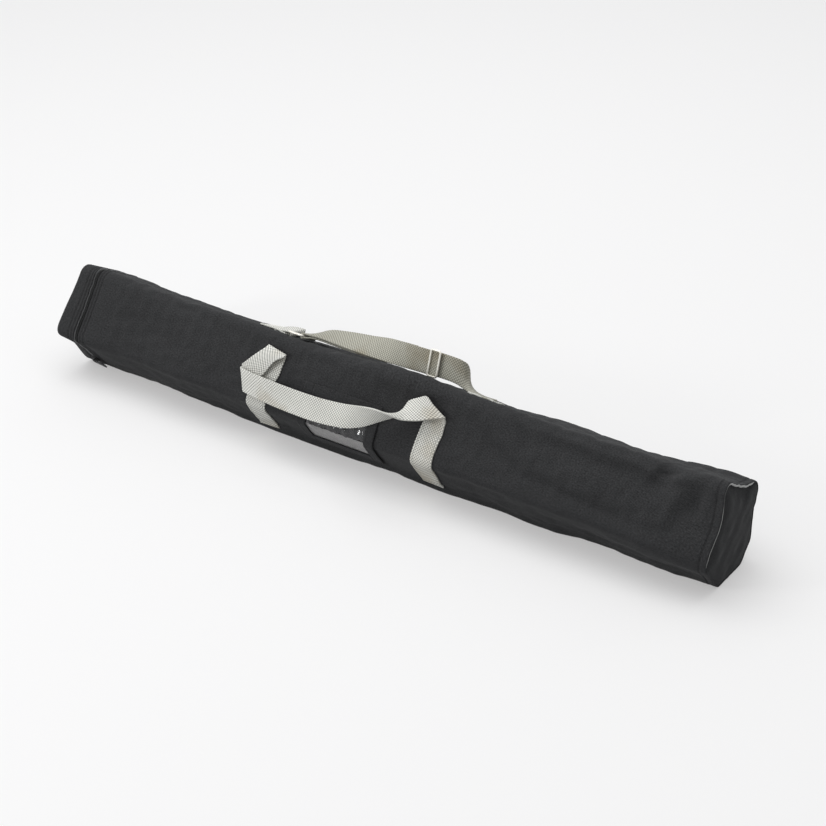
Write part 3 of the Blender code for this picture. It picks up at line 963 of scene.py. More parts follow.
@dataclass
class Drape:
    """How the soft bag hangs away from the straight section it was sewn to."""

    outline: Outline
    slack: Ripples = field(default_factory=lambda: Ripples(7, 0.045, 0.110, 2.2))
    crumple: Ripples = field(default_factory=lambda: Ripples(11, 0.014, 0.034, 1.5))
    pucker: Ripples = field(default_factory=lambda: Ripples(23, 0.009, 0.016, 3.0))
    slack_height: float = 0.0015
    crumple_height: float = 0.00035
    pucker_height: float = 0.0004
    lid_rise: float = 0.0070
    lid_slant: float = 0.0050
    lid_corner: float = 0.0080
    lid_tuck: float = 0.0070
    lid_wedge: float = 0.0055
    end_hump: float = 0.0080
    end_sag: float = 0.0090
    end_lip: float = 0.0050
    groove: float = 0.0013
    bend_ridge: float = 0.0042
    base_swell: float = 0.0042

    def __post_init__(self) -> None:
        """Lay out the creases that show in the photograph."""
        front = self.outline.front
        edge = self.outline.top(0.0)
        self.edge = edge
        self.rear_edge = self.outline.top(TOP_DEPTH)
        self.creases = (
            Crease((0.17, edge), (0.400, front(0.084)), 0.013, 0.0060),
            Crease((0.390, front(0.086)), (0.416, front(0.074)), 0.018, 0.0095),
            Crease((0.215, front(0.085)), (0.385, front(0.082)), 0.008, -0.0039),
            Crease((0.235, front(0.072)), (0.405, front(0.067)), 0.010, 0.0034),
            Crease((0.365, front(0.084)), (0.412, front(0.071)), 0.005, -0.0031),
            Crease((0.427, front(0.078)), (0.418, front(0.040)), 0.008, -0.0034),
            Crease((0.457, front(0.084)), (0.432, front(0.034)), 0.011, 0.0045),
            Crease((0.205, front(0.086)), (0.238, front(0.058)), 0.006, 0.0031),
            Crease((0.170, front(0.060)), (0.235, front(0.027)), 0.008, 0.0039),
            Crease((0.222, front(0.029)), (0.392, front(0.017)), 0.007, 0.0036),
            Crease((0.444, front(0.072)), (0.452, front(0.042)), 0.006, 0.0039),
            Crease((0.462, front(0.084)), (0.455, front(0.048)), 0.006, -0.0028),
            Crease((0.400, front(0.076)), (0.448, front(0.088)), 0.006, -0.0042),
            Crease((0.437, front(0.037)), (0.474, front(0.036)), 0.006, 0.0012),
            Crease((0.390, front(0.004)), (0.476, front(0.012)), 0.007, -0.0014),
            Crease((-0.400, edge), (-0.270, front(0.092)), 0.014, 0.0030),
            Crease((-0.335, front(0.091)), (-0.190, front(0.079)), 0.009, 0.0036),
            Crease((-0.030, edge), (0.140, edge), 0.018, -0.0050),
            Crease((0.000, edge + 0.004), (0.118, edge + 0.004), 0.013, -0.0054),
            Crease((0.020, front(0.080)), (0.075, front(0.030)), 0.009, 0.0018),
            Crease((-0.240, front(0.078)), (-0.180, front(0.036)), 0.006, 0.0030),
            Crease((0.140, front(0.080)), (0.200, front(0.040)), 0.011, 0.0021),
            Crease((0.255, front(0.074)), (0.300, front(0.034)), 0.012, 0.0019),
        )

    def calm(self, x: Array, c: Array) -> Array:
        """Tell where the label pocket keeps the cloth smooth.

        Args:
            x: distances along the bag.
            c: distances round it, from the front bend.

        Returns:
            1 under the pocket, falling to 0 round it.
        """
        along = ramp(x, -0.120, -0.098) * ramp(-x, -0.112, -0.092)
        return along * ramp(c, -0.066, -0.052) * ramp(-c, -0.052, -0.036)

    def place(self, x: Array, c: Array, lift: Array | float = 0.0) -> Array:
        """Find the draped skin.

        Args:
            x: distances along the bag, of any shape.
            c: distances round it, of the same shape.
            lift: height off the skin.

        Returns:
            World points.
        """
        half = self.outline.perimeter / 2
        c = (np.asarray(c) + half) % (2 * half) - half
        spot, out = self.outline.at(c)
        height = self.relief(x, c) + lift
        points = np.empty((*np.broadcast(x, c).shape, 3))
        points[..., 0] = x + self.slant(x, c)
        points[..., 1:] = spot + out * height[..., None]
        points[..., 2] += self.rise(x, c)
        points[..., 2] = np.maximum(points[..., 2], FLOOR_GAP)
        return points

    def rise(self, x: Array, c: Array) -> Array:
        """Give how far the lid end is carried up and the fixed end's front bend hangs down.

        Args:
            x: distances along the bag.
            c: distances round it, from the front bend.

        Returns:
            Heights.
        """
        upper = ramp(c, 0.0, 0.040) * (1.0 - ramp(c, self.rear_edge - 0.02, self.rear_edge + 0.03))
        base = 0.25 * bell(c, -0.080, 0.018)
        sag = -self.end_sag * ramp(x, 0.37, 0.46) * bell(c, 0.002, 0.024)
        tuck = self.lid_tuck * ramp(-x, 0.455, 0.478) * bell(c, -0.026, 0.020)
        return self.lid_rise * ramp(-x, 0.30, 0.45) * (upper + base) + sag + tuck

    def slant(self, x: Array, c: Array) -> Array:
        """Give how far the lid leans along the bag and the fixed end's rim bulges out.

        Args:
            x: distances along the bag.
            c: distances round it, from the front bend.

        Returns:
            Distances along X.
        """
        near = ramp(-x, 0.37, 0.445)
        low = bell(c, 0.012, 0.021)
        high = ramp(c, 0.040, self.edge) * (1.0 - ramp(c, self.rear_edge - 0.03, self.rear_edge))
        lid = self.lid_slant * near * (0.5 * high - low)
        face = -self.lid_wedge * ramp(-x, 0.450, 0.480) * bell(c, 0.014, 0.040)
        lip = self.end_lip * ramp(x, 0.440, 0.4765) * bell(c, self.outline.front(0.046), 0.026)
        return lid + face + lip

    def relief(self, x: Array, c: Array) -> Array:
        """Give the height of the skin over its section.

        Args:
            x: distances along the bag.
            c: distances round it, from the front bend.

        Returns:
            Heights along the section's normal.
        """
        free = ramp(x, ZIP_X + 0.016, ZIP_X + 0.070) * ramp(-x, -END_X + 0.004, -END_X + 0.050)
        seams = np.exp(-np.abs(x - ZIP_X) / 0.012) + np.exp(-np.abs(END_X - x) / 0.012)
        total = free * (self.slack_height * self.slack(x, c) + self.crumple_height * self.crumple(x, c))
        total = total + seams * self.pucker_height * (self.pucker(x, c) - 0.6)
        for crease in self.creases:
            total = total + crease.relief(x, c)
        total = total * (1.0 - self.calm(x, c))
        total = total + self.lid_corner * ramp(-x, 0.38, 0.44) * bell(c, 0.002, 0.011)
        body = ramp(x, -0.425, -0.36) * ramp(-x, -0.455, -0.40)
        total = total + self.bend_ridge * body * bell(c, self.outline.front(0.003), 0.0085)
        full = ramp(x, -0.34, -0.20) * ramp(-x, -0.36, -0.22)
        total = total + self.base_swell * full * bell(c, -0.066, 0.012)
        far = ramp(x, 0.36, 0.45)
        total = total + self.end_hump * far * bell(c, self.rear_edge, 0.022)
        total = total + 0.0035 * ramp(x, 0.42, 0.47) * bell(c, self.edge, 0.014)
        for seam in LID_STITCH_ROWS + BODY_STITCH_ROWS:
            total = total - self.groove * bell(x, seam, 0.0011)
        return total


@dataclass
class ClothTrial:
    """Lets a draped tube of cloth settle as real cloth, with its sewn edges held."""

    frames: int = 16
    spare: float = 0.009
    hold: float = 0.25
    sink: float = 0.0011
    swell: float = 0.0050

    def settle(self, grid: Array, held: Array) -> Array:
        """Run the cloth and read where it came to rest.

        Args:
            grid: points as rows, columns and 3; the columns close on themselves.
            held: share by which each point is pinned, as rows and columns.
        """
        rows, columns = grid.shape[:2]
        uv = np.zeros((rows, columns + 1, 2))
        trial = grid_object("cloth_trial", grid, uv, wrap=True)
        group = trial.vertex_groups.new(name="held")
        for i, weight in enumerate(np.maximum(held, self.hold).ravel()):
            group.add([i], float(weight), "REPLACE")
        modifier = trial.modifiers.new("cloth", "CLOTH")
        self.tune(modifier)
        scene = bpy.context.scene
        for number in range(1, self.frames + 1):
            scene.frame_set(number)
        view = bpy.context.evaluated_depsgraph_get()
        settled = np.empty(rows * columns * 3)
        trial.evaluated_get(view).data.vertices.foreach_get("co", settled)
        scene.frame_set(1)
        bpy.data.objects.remove(trial, do_unlink=True)
        moved = settled.reshape(grid.shape) - grid
        outs = grid_normals(grid, wrap=True)
        out = np.sum(moved * outs, axis=2)
        LOG.info("cloth settled from %.4f to %.4f m off its place", out.min(), out.max())
        kept = np.clip(out, -self.sink, self.swell)
        return grid + moved + outs * (kept - out)[..., None]

    def tune(self, modifier: bpy.types.Modifier) -> None:
        """Set the cloth up as coated nylon with a little spare length.

        Args:
            modifier: the Cloth modifier.
        """
        settings = modifier.settings
        settings.quality = 4
        settings.mass = 0.25
        settings.tension_stiffness = 25.0
        settings.compression_stiffness = 25.0
        settings.shear_stiffness = 10.0
        settings.bending_stiffness = 30.0
        settings.vertex_group_mass = "held"
        settings.pin_stiffness = 4.0
        settings.shrink_min = -self.spare
        settings.use_pressure = True
        settings.uniform_pressure_force = 0.3
        settings.effector_weights.gravity = 0.1
        modifier.collision_settings.use_collision = False
        modifier.collision_settings.use_self_collision = False
        modifier.point_cache.frame_start = 1
        modifier.point_cache.frame_end = self.frames


class Skin:
    """Draped surface that sewn pieces are laid on."""

    def __init__(self, outline: Outline, places: Array, grid: Array, rounds: Array) -> None:
        """Keep the surface and its normals.

        Args:
            outline: section of the bag.
            places: x of each row.
            grid: points as rows, columns and 3; the columns close on themselves.
            rounds: c of each column.
        """
        self.outline = outline
        self.places = places
        self.rounds = rounds
        self.grid = grid
        self.normals = grid_normals(grid, wrap=True)

    def at(self, x: Array, c: Array, lift: Array | float = 0.0) -> Array:
        """Find points on or off the skin.

        Args:
            x: distances along the bag.
            c: distances round it, of the same shape.
            lift: height off the skin.

        Returns:
            World points.
        """
        x, c = np.broadcast_arrays(np.asarray(x, float), np.asarray(c, float))
        row = np.interp(x, self.places, np.arange(len(self.places)))
        step = self.outline.perimeter / len(self.rounds)
        column = ((c - self.rounds[0]) % self.outline.perimeter) / step
        low_row = np.clip(np.floor(row).astype(int), 0, len(self.places) - 2)
        low_column = np.floor(column).astype(int) % len(self.rounds)
        next_column = (low_column + 1) % len(self.rounds)
        across_row = (row - low_row)[..., None]
        across_column = (column - np.floor(column))[..., None]
        found = []
        for source in (self.grid, self.normals):
            first, second = (source[low_row, near] * (1 - across_row) + source[low_row + 1, near] * across_row
                             for near in (low_column, next_column))
            found.append(first * (1 - across_column) + second * across_column)
        return found[0] + unit(found[1]) * np.asarray(lift)[..., None]

    def line(self, x: Array, c: Array, lift: float) -> tuple[Array, Array]:
        """Lay a line on the skin for beads to follow.

        Args:
            x: distances along the bag.
            c: distances round it.
            lift: height off the skin.

        Returns:
            Points and outward directions.
        """
        points = self.at(x, c, lift)
        return points, unit(points - self.at(x, c, lift - 0.001))

    def patch(self, name: str, ends: tuple[float, float], rounds: tuple[float, float], lift: float,
              wall: float, weave: Weave = Weave.SMOOTH, step: float = 0.002) -> Item:
        """Lay a rectangular sheet on the skin.

        Args:
            name: object name.
            ends: lowest and highest x.
            rounds: lowest and highest c.
            lift: height of the sheet's underside off the skin.
            wall: thickness.
            weave: relief of the sheet.
            step: distance between its points.

        Returns:
            The linked object.
        """
        x = np.linspace(*ends, max(3, round((ends[1] - ends[0]) / step) + 1))
        c = np.linspace(*rounds, max(3, round((rounds[1] - rounds[0]) / step) + 1))
        spread_x, spread_c = np.meshgrid(x, c, indexing="ij")
        return thick_sheet(name, self.at(spread_x, spread_c, lift + wall / 2), wall, weave)


def ribbon_path(centres: Array, widths: Array, step: float) -> tuple[Array, Array]:
    """Run a smooth ribbon through stations.

    Args:
        centres: centre of each station.
        widths: direction across the ribbon at each station.
        step: distance between the points of the result.

    Returns:
        Centres and unit directions across, evenly spaced.
    """
    ends = np.vstack((2 * centres[0] - centres[1], centres, 2 * centres[-1] - centres[-2]))
    sides = unit(np.vstack((widths[:1], widths, widths[-1:])))
    fine = np.linspace(0.0, 1.0, 24, endpoint=False)[:, None]
    line = []
    across = []
    for i in range(1, len(ends) - 2):
        for source, found in ((ends, line), (sides, across)):
            a, b, c, d = source[i - 1], source[i], source[i + 1], source[i + 2]
            found.append(0.5 * (2 * b + (c - a) * fine + (2 * a - 5 * b + 4 * c - d) * fine ** 2
                                + (3 * b - a - 3 * c + d) * fine ** 3))
    line = np.vstack((*line, ends[-2:-1]))
    across = unit(np.vstack((*across, sides[-2:-1])))
    run = np.r_[0.0, np.cumsum(np.linalg.norm(np.diff(line, axis=0), axis=1))]
    even = np.linspace(0.0, run[-1], max(4, round(run[-1] / step) + 1))
    centre = np.stack([np.interp(even, run, line[:, k]) for k in range(3)], axis=1)
    side = unit(np.stack([np.interp(even, run, across[:, k]) for k in range(3)], axis=1))
    return centre, side


def ribbon(name: str, stations: list[tuple[Point, Point]]) -> tuple[Item, float]:
    """Make a free strip of webbing.

    Args:
        name: object name.
        stations: centre and direction across, in world space.

    Returns:
        The linked object and the strip's length.
    """
    centres = np.array([station[0] for station in stations], float)
    widths = np.array([station[1] for station in stations], float)
    centre, side = ribbon_path(centres, widths, WEB_STEP)
    spread = np.linspace(-0.5, 0.5, round(WEB_WIDTH / WEB_STEP) + 1) * WEB_WIDTH
    middle = centre[:, None, :] + side[:, None, :] * spread[None, :, None]
    length = float(np.linalg.norm(np.diff(centre, axis=0), axis=1).sum())
    return thick_sheet(name, middle, WEB_WALL, Weave.WEBBING), length


def face_point(rise: Point) -> Array:
    """Find a place off the front face.

    Args:
        rise: x along the bag, height up the face from its lower corner, and distance off it, in mm.

    Returns:
        The world point.
    """
    x, up, out = np.array(rise) / 1000.0
    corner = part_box("bag_shell")[1].y - (math.sin(ROLL) * FACE_HEIGHT + math.cos(ROLL) * TOP_DEPTH)
    y = corner + up * math.sin(ROLL) - out * math.cos(ROLL)
    return np.array((x, y, FRONT_LIFT + up * math.cos(ROLL) + out * math.sin(ROLL)))


def top_point(x: float, inset: float, lift: float) -> Array:
    """Find a place over the flat of the top face.

    Args:
        x: distance along the bag.
        inset: distance back from the face's front corner.
        lift: height off the face.

    Returns:
        The world point.
    """
    corner = face_point((0.0, FACE_HEIGHT * 1000.0, 0.0))
    y = corner[1] + inset * math.cos(ROLL) + lift * math.sin(ROLL)
    return np.array((x, y, corner[2] - inset * math.sin(ROLL) + lift * math.cos(ROLL)))


def top_way(inset: float, lift: float) -> Array:
    """Find a direction from the top face.

    Args:
        inset: share of it that runs back along the face.
        lift: share of it that leaves the face.

    Returns:
        The direction in world space.
    """
    return top_point(0, inset, lift) - top_point(0, 0, 0)


def joined(name: str, items: list[Item]) -> Item:
    """Join mesh objects into one.

    Args:
        name: name of the result.
        items: objects to join; they are removed.

    Returns:
        The linked object.
    """
    points = []
    faces = []
    corners = []
    start = 0
    for item in items:
        mesh = item.data
        points.extend(vertex.co.copy() for vertex in mesh.vertices)
        faces.extend(tuple(start + i for i in polygon.vertices) for polygon in mesh.polygons)
        corners.extend(spot.vector.copy() for spot in mesh.uv_layers["cloth"].uv)
        start += len(mesh.vertices)
        bpy.data.objects.remove(item, do_unlink=True)
    return mesh_object(name, np.array(points), faces, np.array(corners))


def box_path(ends: tuple[float, float], rounds: tuple[float, float], count: int) -> tuple[Array, Array]:
    """Go once round a rectangle on the skin.

    Args:
        ends: lowest and highest x.
        rounds: lowest and highest c.
        count: points on each side.

    Returns:
        The x and the c of every point.
    """
    (x0, x1), (c0, c1) = ends, rounds
    x = np.r_[np.linspace(x0, x1, count), np.full(count, x1), np.linspace(x1, x0, count), np.full(count, x0)]
    c = np.r_[np.full(count, c0), np.linspace(c0, c1, count), np.full(count, c1), np.linspace(c1, c0, count)]
    return x, c


def sweep(name: str, path: Array, axis: Array, radius: Array | float) -> Item:
    """Sweep a round wire along a closed flat path.

    Args:
        name: object name.
        path: points of the path, the first not repeated.
        axis: direction square to the path's plane.
        radius: radius of the wire, or one for each point of the path.

    Returns:
        The linked object.
    """
    tangents = unit(np.roll(path, -1, axis=0) - np.roll(path, 1, axis=0))
    sideways = unit(np.cross(tangents, axis))
    angles = np.linspace(0.0, math.tau, WIRE_SIDES, endpoint=False)[None, :, None]
    ring = np.cos(angles) * sideways[:, None, :] + np.sin(angles) * np.array(axis)
    radius = np.broadcast_to(radius, len(path))
    grid = path[:, None, :] + radius[:, None, None] * ring
    grid = np.concatenate((grid, grid[:1]), axis=0)
    run = np.r_[0.0, np.cumsum(np.linalg.norm(np.roll(path, -1, axis=0) - path, axis=1))]
    u, v = np.meshgrid(run, np.linspace(0.0, math.tau * radius.max(), WIRE_SIDES + 1), indexing="ij")
    return grid_object(name, grid[:, ::-1], np.stack((u, v), axis=2), wrap=True)


def rounded_loop(corners: Array, radius: float, steps: int = 8) -> Array:
    """Round the corners of a flat closed loop.

    Args:
        corners: corner points.
        radius: radius of each corner.
        steps: points on each corner.

    Returns:
        Points of the rounded loop.
    """
    points = []
    for i, corner in enumerate(corners):
        before = unit(corners[i - 1] - corner)
        after = unit(corners[(i + 1) % len(corners)] - corner)
        for share in np.linspace(0.0, 1.0, steps):
            start = corner + before * radius * (1 - share)
            end = corner + after * radius * share
            points.append(start * (1 - share) + end * share)
    return np.array(points)


def lathe(name: str, profile: list[tuple[float, float]], axis: tuple[float, float]) -> Item:
    """Turn a profile round a line along the bag.

    Args:
        name: object name.
        profile: pairs of x and radius, in the order that keeps the outside out.
        axis: y and z of the line.

    Returns:
        The linked object.
    """
    angles = np.linspace(0.0, math.tau, TURNED_SIDES, endpoint=False)
    x = np.array([spot[0] for spot in profile])
    radius = np.array([max(spot[1], 0.00001) for spot in profile])
    grid = np.empty((len(profile), TURNED_SIDES, 3))
    grid[..., 0] = x[:, None]
    grid[..., 1] = axis[0] + radius[:, None] * np.cos(angles)
    grid[..., 2] = axis[1] + radius[:, None] * np.sin(angles)
    run = np.r_[0.0, np.cumsum(np.hypot(np.diff(x), np.diff(radius)))]
    u, v = np.meshgrid(run, np.linspace(0.0, math.tau * radius.max(), TURNED_SIDES + 1), indexing="ij")
    return grid_object(name, grid, np.stack((u, v), axis=2), wrap=True)


def soft_box(name: str, size: Point, place: Matrix, bevel: float) -> Item:
    """Make a box with rounded edges.

    Args:
        name: object name.
        size: its three sizes.
        place: where its middle goes.
        bevel: radius of its edges.

    Returns:
        The linked object.
    """
    corners = np.array([(a, b, c) for a in (-0.5, 0.5) for b in (-0.5, 0.5) for c in (-0.5, 0.5)]) * size
    faces = [(0, 1, 3, 2), (4, 6, 7, 5), (0, 4, 5, 1), (2, 3, 7, 6), (0, 2, 6, 4), (1, 5, 7, 3)]
    item = mesh_object(name, corners, faces)
    modifier = item.modifiers.new("edges", "BEVEL")
    modifier.width = bevel
    modifier.segments = 3
    bake(item)
    item.data.transform(place)
    layer = item.data.uv_layers.get("cloth") or item.data.uv_layers.new(name="cloth")
    for loop, spot in zip(item.data.loops, layer.data):
        spot.uv = item.data.vertices[loop.vertex_index].co.xy
    return item


@dataclass
class BagBody:
    """Sewn body: outer cloth, padded lining and the fixed end with its piping."""

    outline: Outline
    drape: Drape
    beads: BeadTree
    rows: int = 260
    columns: int = 132
    skin: Skin = field(init=False)

    def build(self) -> None:
        """Make every piece of the body."""
        self.rounds = np.linspace(0.0, self.outline.perimeter, self.columns, endpoint=False)
        self.cloth()
        self.lining()
        self.end_panel()
        self.piping()
        self.stitches()
        self.plate("end_stiffener", "bag", "end_board", (END_X - 0.0100, END_X - 0.0080))

    def plate(self, name: str, part: str, node: str, ends: tuple[float, float]) -> None:
        """Stiff board across the bag.

        Args:
            name: object name.
            part: CAD body it moves with.
            node: CAD node it stands for.
            ends: x of its two faces.
        """
        rims = self.ring(ends, [-0.0045, -0.0045])
        rims[0, :, 0] = ends[0]
        rims[1, :, 0] = ends[1]
        middles = rims.mean(axis=1, keepdims=True)
        grid = np.stack((middles[0] + (rims[0] - middles[0]) * 0.02, rims[0], rims[1],
                         middles[1] + (rims[1] - middles[1]) * 0.02))
        along = np.array((0.0, 0.05, 0.052, 0.102))
        item = grid_object(name, grid, self.uv(along), wrap=True, ends=Ends.FAN)
        item.data.shade_flat()
        install(item, part, BOARD, node)

    def ring(self, x: Array, lift: Array) -> Array:
        """Find rings of the skin at several lengths.

        Args:
            x: distance along the bag of each ring.
            lift: height of each ring off the skin.

        Returns:
            Points as rows, columns and 3.
        """
        spread_x, spread_c = np.meshgrid(x, self.rounds, indexing="ij")
        return self.drape.place(spread_x, spread_c, np.asarray(lift)[:, None])

    def uv(self, along: Array) -> Array:
        """Give flat cloth coordinates for rings of the skin.

        Args:
            along: distance of each ring along the cloth.

        Returns:
            Rows, columns and 2, with the closing column.
        """
        u, v = np.meshgrid(along, np.r_[self.rounds, self.outline.perimeter], indexing="ij")
        return np.stack((u, v), axis=2)

    def cloth(self) -> None:
        """Outer cloth, with a turned hem at the mouth and a turned seam at the fixed end."""
        start = ZIP_X + CLOTH_EDGE
        first = np.linspace(start + 0.0010, start + 0.0160, 22, endpoint=False)
        middle = np.linspace(start + 0.0160, END_X - 0.0140, self.rows, endpoint=False)
        last = np.linspace(END_X - 0.0140, END_X - 0.0008, 18)
        places = np.r_[first, middle, last]
        drawn = self.ring(places, np.zeros(len(places)))
        loose = ramp(places, start + 0.012, start + 0.050) * ramp(-places, 0.002 - END_X, 0.026 - END_X)
        spread_x, spread_c = np.meshgrid(places, self.signed(), indexing="ij")
        bends = np.maximum(0.75 * bell(spread_c, -0.015, 0.030), 0.90 * bell(spread_c, -0.066, 0.024))
        stiff = np.maximum(self.drape.calm(spread_x, spread_c), bends)
        grid = ClothTrial().settle(drawn, np.maximum((1.0 - loose)[:, None], stiff))
        grid[..., 2] = np.maximum(grid[..., 2], FLOOR_GAP)
        self.skin = Skin(self.outline, places, grid, self.rounds)
        hem = start + np.array((0.008, 0.0006, 0.0, 0.0003))
        mouth = self.ring(hem, [-0.0016, -0.0015, -0.0009, -0.0003])
        turned = END_X + np.array((0.0004, 0.0010, 0.0006, -0.0030))
        seam = self.ring(turned, [-0.0003, -0.0010, -0.0018, -0.0022])
        whole = np.concatenate((mouth, grid, seam))
        along = np.r_[start + np.array((-0.012, -0.002, -0.001, 0.0)), places,
                      END_X + np.array((0.0, 0.001, 0.002, 0.006))]
        item = grid_object("body_cloth", whole, self.uv(along), wrap=True)
        install(item, "bag", NYLON, "bag_shell")

    def lining(self) -> None:
        """Foam padding in its lining cloth, rounded over at the mouth."""
        start = ZIP_X + CLOTH_EDGE + TAPE_WIDTH + 0.0004
        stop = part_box("foam_liner")[1].x
        inside = np.linspace(stop, start + 0.002, 150)
        deep = LINING_INSET + PADDING
        quilt = 0.0004 * np.sin(math.tau * inside / 0.030)
        outside = np.linspace(start + 0.002, stop, 220)
        x = np.r_[inside, start, start, outside]
        outer = np.full_like(outside, -LINING_INSET - 0.0004)
        lift = np.r_[-deep + quilt, -deep + 0.001, -LINING_INSET - 0.001, outer]
        along = np.r_[0.0, np.cumsum(np.hypot(np.diff(x), np.diff(lift)))]
        spread_x, spread_c = np.meshgrid(x, self.rounds, indexing="ij")
        grid = self.skin.at(spread_x, spread_c, np.broadcast_to(lift[:, None], spread_x.shape))
        item = grid_object("padded_lining", grid, self.uv(along), wrap=True)
        install(item, "bag", LINING, "foam_liner")

    def signed(self) -> Array:
        """Give each column's distance from the front bend, up the face or down under it.

        Returns:
            Distances from minus to plus half the way round.
        """
        half = self.outline.perimeter / 2
        return (self.rounds + half) % (2 * half) - half

    def open_share(self) -> Array:
        """Tell where the rim stands clear of the end panel: on the front face and the top.

        Returns:
            1 where it gapes and 0 where it is sewn flush, for each column.
        """
        c = self.signed()
        return ramp(c, -0.020, 0.010) * (1.0 - ramp(c, self.drape.rear_edge - 0.020, self.drape.rear_edge))

    def end_panel(self) -> None:
        """Fixed end: a slightly full panel set behind the gaping rim of the cloth."""
        shares = np.r_[np.linspace(1.0, 0.86, 10), np.linspace(0.83, 0.02, 24)]
        gape = self.open_share()
        rim = self.drape.place(np.full_like(self.rounds, END_X), self.rounds, -0.0014 - 0.0020 * gape)
        middle = rim.mean(axis=0)
        wrinkle = Ripples(5, 0.018, 0.040)
        grid = np.empty((len(shares), self.columns, 3))
        for i, share in enumerate(shares):
            grid[i] = middle + (rim - middle) * share
            full = 0.0018 * (1 - share ** 2) + 0.0008 * ramp(1 - share, 0.0, 0.10)
            fold = 0.0005 * wrinkle(grid[i, :, 1], grid[i, :, 2]) * ramp(1 - share, 0.02, 0.3)
            grid[i, :, 0] = END_X - 0.0040 * gape * ramp(share, 0.55, 0.95) + full + fold
        uv = np.concatenate((grid, grid[:, :1]), axis=1)[..., 1:]
        item = grid_object("end_cloth", grid, uv, wrap=True, ends=Ends.FAN)
        install(item, "bag", NYLON, "end_panel")

    def piping(self) -> None:
        """Piping cord sewn into the seam round the fixed end; it shows where the rim gapes."""
        gape = self.open_share()
        x = np.full_like(self.rounds, END_X - 0.0016) + 0.0020 * gape
        rim = self.drape.place(x, self.rounds, -0.0010 - 0.0014 * gape)
        c = self.signed()
        front = self.outline.front
        edge = self.drape.edge
        tucked = ramp(c, front(0.062), front(0.072)) * (1.0 - ramp(c, edge, edge + 0.008))
        radius = 0.0007 + 0.0006 * ramp(c, edge - 0.006, edge + 0.014) * gape - 0.0005 * tucked
        install(sweep("end_cord", rim, AHEAD, radius), "bag", PIPING, "end_piping")

    def stitches(self) -> None:
        """Rows of stitches beside the zip and the end seam."""
        c = np.linspace(0.0, self.outline.perimeter, 260)
        lines = []
        for x in BODY_STITCH_ROWS:
            lines.append(self.skin.line(np.full_like(c, x), c, 0.0001))
        item = self.beads.run("body_stitches", lines, SEAM_STITCH, SEAM_STITCH_PITCH, BLACK_THREAD)
        install(item, "bag", BLACK_THREAD)


@dataclass
class Lid:
    """Zipped end of the bag, hinged along its rear edge."""

    body: BagBody

    def build(self) -> None:
        """Make every piece of the lid."""
        self.cloth()
        self.stitches()
        self.body.plate("lid_stiffener", "lid", "lid_board", (LID_FACE_X + 0.0045, LID_FACE_X + 0.0065))

    def cloth(self) -> None:
        """Band and face of the lid in one sewn shell."""
        edge = ZIP_X - CLOTH_EDGE
        rim = self.body.ring([LID_FACE_X + 0.0010], [-0.0030])[0]
        middle = rim.mean(axis=0)
        shares = np.linspace(0.02, 1.0, 26)
        face = np.empty((len(shares), self.body.columns, 3))
        for i, share in enumerate(shares):
            face[i] = middle + (rim - middle) * share
            face[i, :, 0] -= 0.0014 * (1 - share ** 4)
        band = np.linspace(LID_FACE_X + 0.004, edge - 0.001, 30)
        band_x = np.r_[LID_FACE_X + 0.0012, LID_FACE_X + 0.0024, band, edge, edge - 0.0006, edge - 0.008]
        band_lift = np.r_[-0.0014, -0.0003, np.zeros(29), -0.0003, -0.0009, -0.0015, -0.0016]
        grid = np.concatenate((face, self.body.ring(band_x, band_lift)))
        along = np.r_[shares * 0.05, 0.052 + np.cumsum(np.abs(np.diff(np.r_[band_x[0], band_x])))]
        item = grid_object("lid_cloth", grid, self.body.uv(along), wrap=True, ends=Ends.FAN)
        install(item, "lid", NYLON, "lid_panel", "lid_band")

    def stitches(self) -> None:
        """Two rows of stitches beside the zip."""
        c = np.linspace(0.0, self.body.outline.perimeter, 260)
        lines = []
        for x in LID_STITCH_ROWS:
            points = self.body.drape.place(np.full_like(c, x), c, 0.0001)
            under = self.body.drape.place(np.full_like(c, x), c, -0.0009)
            lines.append((points, unit(points - under)))
        item = self.body.beads.run("lid_stitches", lines, SEAM_STITCH, SEAM_STITCH_PITCH, BLACK_THREAD)
        install(item, "lid", BLACK_THREAD)


